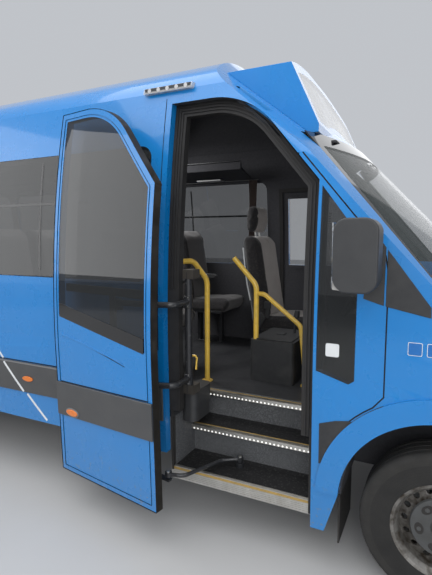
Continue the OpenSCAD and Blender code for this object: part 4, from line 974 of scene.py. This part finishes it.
# Dashboard in two dark grained mouldings with a hooded instrument cluster, air vents and a column
# of switches, a console beside the driver, and a thick-rimmed steering wheel.
soften("dashboard", plastic, 0.018, steps=4)
soften("steering_wheel", moulding, 0.002)
backwards = (-1, 0, 0)
dash = bmesh.new()
slab(dash, [(2.05, 1.262), (2.065, 1.335), (2.10, 1.352), (2.19, 1.340), (2.24, 1.262)], 0.27, 0.59)
for py in (-0.62, -0.10, 0.14, 0.80):
    block(dash, 1.999, 2.010, py - 0.06, py + 0.06, 1.150, 1.205)
    for i in range(5):
        block(dash, 1.994, 2.002, py - 0.054, py + 0.054, 1.156 + 0.010 * i, 1.1595 + 0.010 * i)
block(dash, 1.995, 2.012, -0.07, 0.11, 1.02, 1.13)
for i in range(3):
    drum(dash, (1.990, -0.035 + 0.055 * i, 1.045), backwards, 0.016, 0.020)
piece_of(dash, "dash_details", moulding, "bus", "dark_plastic", edge=0.003)
dial = Finish("dial_glass", Roughness=0.1, Coat_Weight=0.5)
dial.tones(dial.cells(40.0) > 0.35, (0.012, 0.012, 0.014), (0.06, 0.06, 0.065))
dial.grain(60.0, 0.05, 0.0004)
cluster = bmesh.new()
block(cluster, 2.046, 2.056, 0.30, 0.56, 1.275, 1.335)
piece_of(cluster, "dash_cluster", dial, "bus", "dark_plastic", edge=0.002)
box_lid = bmesh.new()
block(box_lid, 1.300, 1.565, -0.215, 0.180, 0.929, 0.938)
block(box_lid, 1.40, 1.46, -0.05, 0.01, 0.930, 0.946)
tube(box_lid, [(1.50, 0.06, 0.93), (1.505, 0.06, 0.99), (1.515, 0.06, 1.06)], 0.009)
drum(box_lid, (1.517, 0.06, 1.075), (0.1, 0, 1), 0.022, 0.05, top=0.017)
piece_of(box_lid, "console_lid", moulding, "bus", "dark_plastic", edge=0.006, steps=3)

# Luggage shelves: dark sheet troughs along both walls with a rounded lip, a rail on short posts
# and pale panels for the reading lamps below.
soften("luggage_shelves", lining, 0.008, steps=3)
rail = bmesh.new()
rail_level = 2.262
for side in (right, left):
    tube(rail, [(-3.34, side * 0.625, rail_level), (0.83, side * 0.625, rail_level)], 0.008, 12)
    for px in [-3.30 + 0.585 * i for i in range(8)]:
        tube(rail, [(px, side * 0.628, 2.245), (px, side * 0.625, rail_level)], 0.006, 8)
    for sx in (-2.75, -1.97, -1.19, -0.41, 0.37):
        block(rail, sx, sx + 0.24, side * 0.74 - 0.045, side * 0.74 + 0.045, 2.113, 2.127, 1)
piece_of(rail, "shelf_rails", (enamel, pale_grey_and_highlight), "bus", "dark_plastic", edge=0.002)

# Curtain at the front of the left windows: a strip of brown cloth 0.26 m wide gathered on a rail
# into five folds, drawn in a little at the middle and hanging 0.685 m.
brown = Finish("curtain_cloth", Roughness=0.95, Sheen_Weight=0.3)
brown.tones(brown.noise(40.0, 4.0), (0.075, 0.052, 0.045), (0.115, 0.082, 0.070))
brown.grain(600.0, 0.4, 0.0008, 3.0)
drape = bmesh.new()
columns, levels, folds = 60, 24, 5
middle_x, rail_y, top_z = 0.8575, 0.853, 2.123
rows = []
for k in range(levels + 1):
    fall = k / levels
    waist = 1.0 - 0.22 * sin(pi * fall)
    row = []
    for i in range(columns + 1):
        t = i / columns
        swing = 0.0122 * sin(t * folds * 2 * pi) * (0.85 + 0.15 * sin(5 * fall + t * 4))
        sideways = (t - 0.5) * 0.082 * waist + 0.002 * sin(7 * fall)
        row.append(drape.verts.new((middle_x + sideways, rail_y + swing, top_z - 0.682 * fall)))
    rows.append(row)
for upper, low_row in zip(rows, rows[1:]):
    for i in range(columns):
        drape.faces.new((upper[i], upper[i + 1], low_row[i + 1], low_row[i]))
curtain = piece_of(drape, "curtain_strip", brown, "bus", "curtain_cloth", ("curtain",), turn=80)
rod = bmesh.new()
tube(rod, [(-3.30, rail_y, 2.1235), (0.91, rail_y, 2.1235)], 0.0035, 10)
piece_of(rod, "curtain_rail", pale_grey_and_highlight, "bus", "aluminium")

# Nose: painted bonnet over a grey moulded bumper and a slatted grille, with polycarbonate
# headlamps over chromed bowls, round fog lamps, a blank number plate and two wipers.
soften("bumpers", plastic, 0.006, steps=3)
soften("grilles", plastic, 0.003)
lamp_cover = Finish("headlamp_lens", Roughness=0.03, IOR=1.5, Alpha=0.42, Coat_Weight=0.8,
                    Base_Color=(0.55, 0.57, 0.58))
x, y, z = lamp_cover.axes()
lamp_cover.bump((abs(y) * 70.0) % 1.0, 0.08, 0.002)
coat(lamp_cover, "lamps")
white_lens = Finish("white_lens", Roughness=0.12, Coat_Weight=0.6)
x, y, z = white_lens.axes()
white_lens.tones((z * 120.0) % 1.0, (0.50, 0.50, 0.50), (0.62, 0.62, 0.62))
white_lens.bump((y * 120.0) % 1.0, 0.2, 0.001)
chrome = Finish("chrome_bowl", Metallic=1.0, Roughness=0.12, Base_Color=(0.80, 0.80, 0.80))
chrome.grain(40.0, 0.05, 0.0005)
solids = {}


def onto(node, start, way):
    """Where a ray meets the outside of a CAD solid, or None."""
    if node not in solids:
        mesh = frame["nodes"][node].data
        solids[node] = BVHTree.FromPolygons([vert.co for vert in mesh.vertices],
                                            [face.vertices for face in mesh.polygons])
    return solids[node].ray_cast(Vector(start), Vector(way))[0]


def nose_x(py, pz):
    """X of the front skin at a width and a height."""
    well_ahead = 4.5
    front_nodes = ("lamps", "bumpers", "grilles", "bonnet")
    hits = [onto(node, (well_ahead, py, pz), backwards) for node in front_nodes]
    return next(hit.x for hit in hits if hit)


bowls = bmesh.new()
for side in (right, left):
    for py, pz, size in ((0.60, 0.92, 0.062), (0.76, 0.93, 0.056), (0.62, 0.815, 0.030),
                         (0.72, 0.815, 0.030)):
        px = nose_x(side * py, pz) - 0.006
        drum(bowls, (px, side * py, pz), along, size, 0.008)
        drum(bowls, (px + 0.0025, side * py, pz), along, size * 0.45, 0.006, 1)
piece_of(bowls, "headlamp_bowls", (chrome, white_lens), "bus", "lamp_clear", edge=0.002)
turn_lens = bmesh.new()
for side in (right, left):
    for pz in (0.85, 0.88):
        px = nose_x(side * 0.86, pz) - 0.004
        drum(turn_lens, (px, side * 0.86, pz), (0.8, side * 0.6, 0), 0.015, 0.008)
piece_of(turn_lens, "front_indicators", amber, "bus", "lamp_clear", edge=0.002)
fogs = bmesh.new()
for side in (right, left):
    py, pz, facing = side * 0.66, 0.50, (0.95, side * 0.3, 0)
    px = nose_x(py, pz)
    drum(fogs, (px - 0.001, py, pz), facing, 0.052, 0.006, 1)
    drum(fogs, (px + 0.0005, py, pz), facing, 0.040, 0.006)
piece_of(fogs, "fog_lamps", (white_lens, moulding), "bus", "lamp_clear", edge=0.002)
plate = Finish("plate_white", Roughness=0.35)
plate.tones(plate.noise(60.0), (0.62, 0.62, 0.60), (0.70, 0.70, 0.68))
plate.grain(200.0, 0.05, 0.0004)
soften("number_plates", plate, 0.001)
soften("wipers", enamel, 0.0015)
wiper_caps = bmesh.new()
for px, py in ((2.60, -0.58), (2.60, 0.16)):
    hit = onto("wipers", (px, py, 2.2), (0, 0, -1))
    if hit:
        drum(wiper_caps, (px, py, hit.z + 0.004), (0.5, 0, 0.9), 0.014, 0.010)
piece_of(wiper_caps, "wiper_caps", moulding, "bus", "rubber", edge=0.002)

# Sun blinds: two padded flaps covered in dark felt, folded up at the top of the windscreen.
blinds = bmesh.new()
for middle in (-0.36, 0.36):
    block(blinds, 1.86, 1.90, middle - 0.26, middle + 0.26, 2.085, 2.10)
piece_of(blinds, "sun_blinds", lining, "bus", "dark_plastic", edge=0.004)

# Rear: clustered tail lamps in red, amber and white, a high brake lamp set in the roof's edge,
# ceramic borders on the panes of the two doors, a grip and a plate lamp on the right one.
red = Finish("red_lens", Roughness=0.1, Coat_Weight=0.7)
x, y, z = red.axes()
red.tones((z * 140.0) % 1.0, (0.34, 0.006, 0.005), (0.50, 0.016, 0.010))
red.bump((y * 140.0) % 1.0, 0.2, 0.001)
well_behind, lens_proud = -4.5, 0.0008
tails = bmesh.new()
for side in (right, left):
    for index, z0, z1 in ((0, 1.135, 1.322), (1, 1.055, 1.128), (2, 0.980, 1.048),
                          (0, 0.908, 0.973)):
        upper, lower = [], []
        for py in [side * (0.825 + 0.162 * k / 6) for k in range(7)]:
            px = onto("lamps", (well_behind, py, (z0 + z1) / 2), along).x - lens_proud
            lower.append(tails.verts.new((px, py, z0)))
            upper.append(tails.verts.new((px, py, z1)))
        for k in range(6):
            face = tails.faces.new((lower[k], upper[k], upper[k + 1], lower[k + 1]))
            face.material_index = index
piece_of(tails, "tail_lamp_lenses", (red, amber, white_lens), "bus", "lamp_clear", turn=60)
brake = bmesh.new()
px = onto("roof", (well_behind, 0, 2.44), along).x
block(brake, px - 0.004, px + 0.012, -0.20, 0.20, 2.425, 2.455)
piece_of(brake, "high_brake_lamp", red, "bus", "lamp_clear", edge=0.004)
door_face = -3.4732
for side, name in sides:
    rear_border = bmesh.new()
    border(rear_border, rounded(*sorted((side * 0.09, side * 0.69)), 1.42, 2.08, 0.05), 0.026)
    push(rear_border, rear_border.faces[:], (0, 0.0015, 0))
    for vert in rear_border.verts:
        vert.co = Vector((door_face + vert.co.y, vert.co.x, vert.co.z))
    piece_of(rear_border, f"rear_{name}_glass_border", ceramic, f"rear_door_{name}_body",
             "tinted_glass")
grips = bmesh.new()
block(grips, -3.486, -3.471, -0.150, -0.020, 1.115, 1.155)
block(grips, -3.491, -3.484, -0.140, -0.030, 1.122, 1.148)
piece_of(grips, "rear_door_grip", moulding, "rear_door_right_body", "dark_plastic", edge=0.004,
         steps=3)
plate_lamp = bmesh.new()
block(plate_lamp, -3.4855, -3.472, -0.24, -0.006, 0.605, 0.630)
piece_of(plate_lamp, "plate_lamp", moulding, "rear_door_right_body", "dark_plastic", edge=0.003)

# Cab door: a flush moulded grip in a bowl, a round lock, and a pale seal round its window, which
# shows through the open entrance.
grip = [rounded(1.24, 1.44, 1.085, 1.135, 0.024)]
trim("cab_door_grip", grip, moulding, left, 0.020, 0.020, body="driver_door_body", edge=0.006,
     steps=3)
bowl = [rounded(1.225, 1.455, 1.070, 1.150, 0.034)]
trim("cab_door_bowl", bowl, gap, left, 0.0008, 0.0012, body="driver_door_body", width=0.006)
lock = bmesh.new()
lock_level = 1.11
drum(lock, (1.205, skin(lock_level) + 0.001, lock_level), across, 0.013, 0.006)
piece_of(lock, "cab_door_lock", bolt, "driver_door_body", "aluminium", edge=0.001)
seal_grey = Finish("window_seal", Roughness=0.6)
seal_grey.tones(seal_grey.noise(50.0), (0.20, 0.195, 0.185), (0.27, 0.26, 0.25))
seal_grey.grain(500.0, 0.1, 0.0004)
trim("cab_window_seal", [rounded(1.163, 2.125, 1.353, 1.962, 0.060)], seal_grey, left, -0.062,
     0.006, body="driver_door_body", slot="rubber", width=0.013, edge=0.002)

# Entrance lamp: a dark bar with five round lenses, set in the side of the roof over the doorway.
lamp_bar = bmesh.new()
kerb_side, bar_level = -1.6, 2.39
for px in [0.955 + 0.056 * i for i in range(5)]:
    hit = onto("lamps", (px, kerb_side, bar_level), across)
    if hit:
        drum(lamp_bar, (hit.x, hit.y - 0.0008, hit.z), (0, -1, 0), 0.011, 0.004, 1, 16)
hit = onto("lamps", (1.066, kerb_side, bar_level), across)
block(lamp_bar, 0.925, 1.208, hit.y - 0.001, hit.y + 0.006, 2.378, 2.402)
piece_of(lamp_bar, "entrance_lamp_bar", (moulding, white_lens), "bus", "dark_plastic", edge=0.0015)

# Underbody: chassis, axles and tank in black enamel, cast knuckles and engine, a stainless exhaust
# and plastic wheel liners, with rubber mudflaps.
iron = Finish("cast_iron", Metallic=0.4, Roughness=0.7)
rust = iron.noise(18.0, 6.0)
iron.tones(rust.clamp(0.45, 0.7), (0.055, 0.055, 0.057), (0.095, 0.055, 0.035))
iron.set(Roughness=rust.clamp(0.3, 0.7, 0.55, 0.85))
iron.grain(220.0, 0.3, 0.001, 4.0)
steel = Finish("exhaust_steel", Metallic=1.0)
heat = steel.noise(6.0, 4.0)
steel.tones(heat, (0.34, 0.33, 0.32), (0.17, 0.13, 0.10))
steel.set(Roughness=heat.clamp(0.3, 0.7, 0.35, 0.6))
steel.grain(120.0, 0.1, 0.0006)
coat(enamel, "chassis_frame", "axles", "fuel_tank")
coat(iron, "engine_block", "knuckle_left", "knuckle_right")
coat(steel, "exhaust")
coat(lining, "wheel_liners")
coat(rubber, "mudflaps")

# Studio: a plain pale floor, a large soft lamp above, one before and one behind on the entrance
# side, a weak one on the far side, and a small one under the cabin ceiling.
ground = bmesh.new()
bmesh.ops.create_grid(ground, x_segments=2, y_segments=2, size=30.0)
bmesh.ops.translate(ground, verts=ground.verts[:], vec=(0, 0, -0.0035))
floor_mesh = bpy.data.meshes.new("studio_floor")
ground.to_mesh(floor_mesh)
ground.free()
studio_floor = bpy.data.objects.new("studio_floor", floor_mesh)
scene.collection.objects.link(studio_floor)
pale = Finish("studio_paper", Roughness=0.9)
pale.tones(pale.noise(2.0), (0.50, 0.50, 0.50), (0.54, 0.54, 0.54))
floor_mesh.materials.append(pale.material)
for name, power, size, spot, aim in (("lamp_top", 280, 7.0, (0.5, -2.5, 6.5), (0.5, -0.5, 1.0)),
                                     ("lamp_kerb", 190, 4.0, (4.5, -7.0, 3.4), (1.4, -0.9, 1.2)),
                                     ("lamp_rear", 130, 5.0, (-6.5, -6.5, 3.6), (-0.5, -0.9, 1.2)),
                                     ("lamp_far", 95, 6.0, (1.5, 7.0, 4.0), (0.5, 0.5, 1.4)),
                                     ("lamp_cabin", 24, 0.8, (-0.2, 0.0, 2.40), (0.3, -0.05, 0.6))):
    lamp = bpy.data.objects.new(name, bpy.data.lights.new(name, "AREA"))
    lamp.data.energy, lamp.data.size = power, size
    lamp.location = spot
    lamp.rotation_euler = (Vector(aim) - Vector(spot)).to_track_quat("-Z", "Y").to_euler()
    scene.collection.objects.link(lamp)
world = bpy.data.worlds.new("studio")
scene.world = world
world.use_nodes = True
world.node_tree.nodes["Background"].inputs["Color"].default_value = (0.80, 0.83, 0.88, 1)
world.node_tree.nodes["Background"].inputs["Strength"].default_value = 0.66
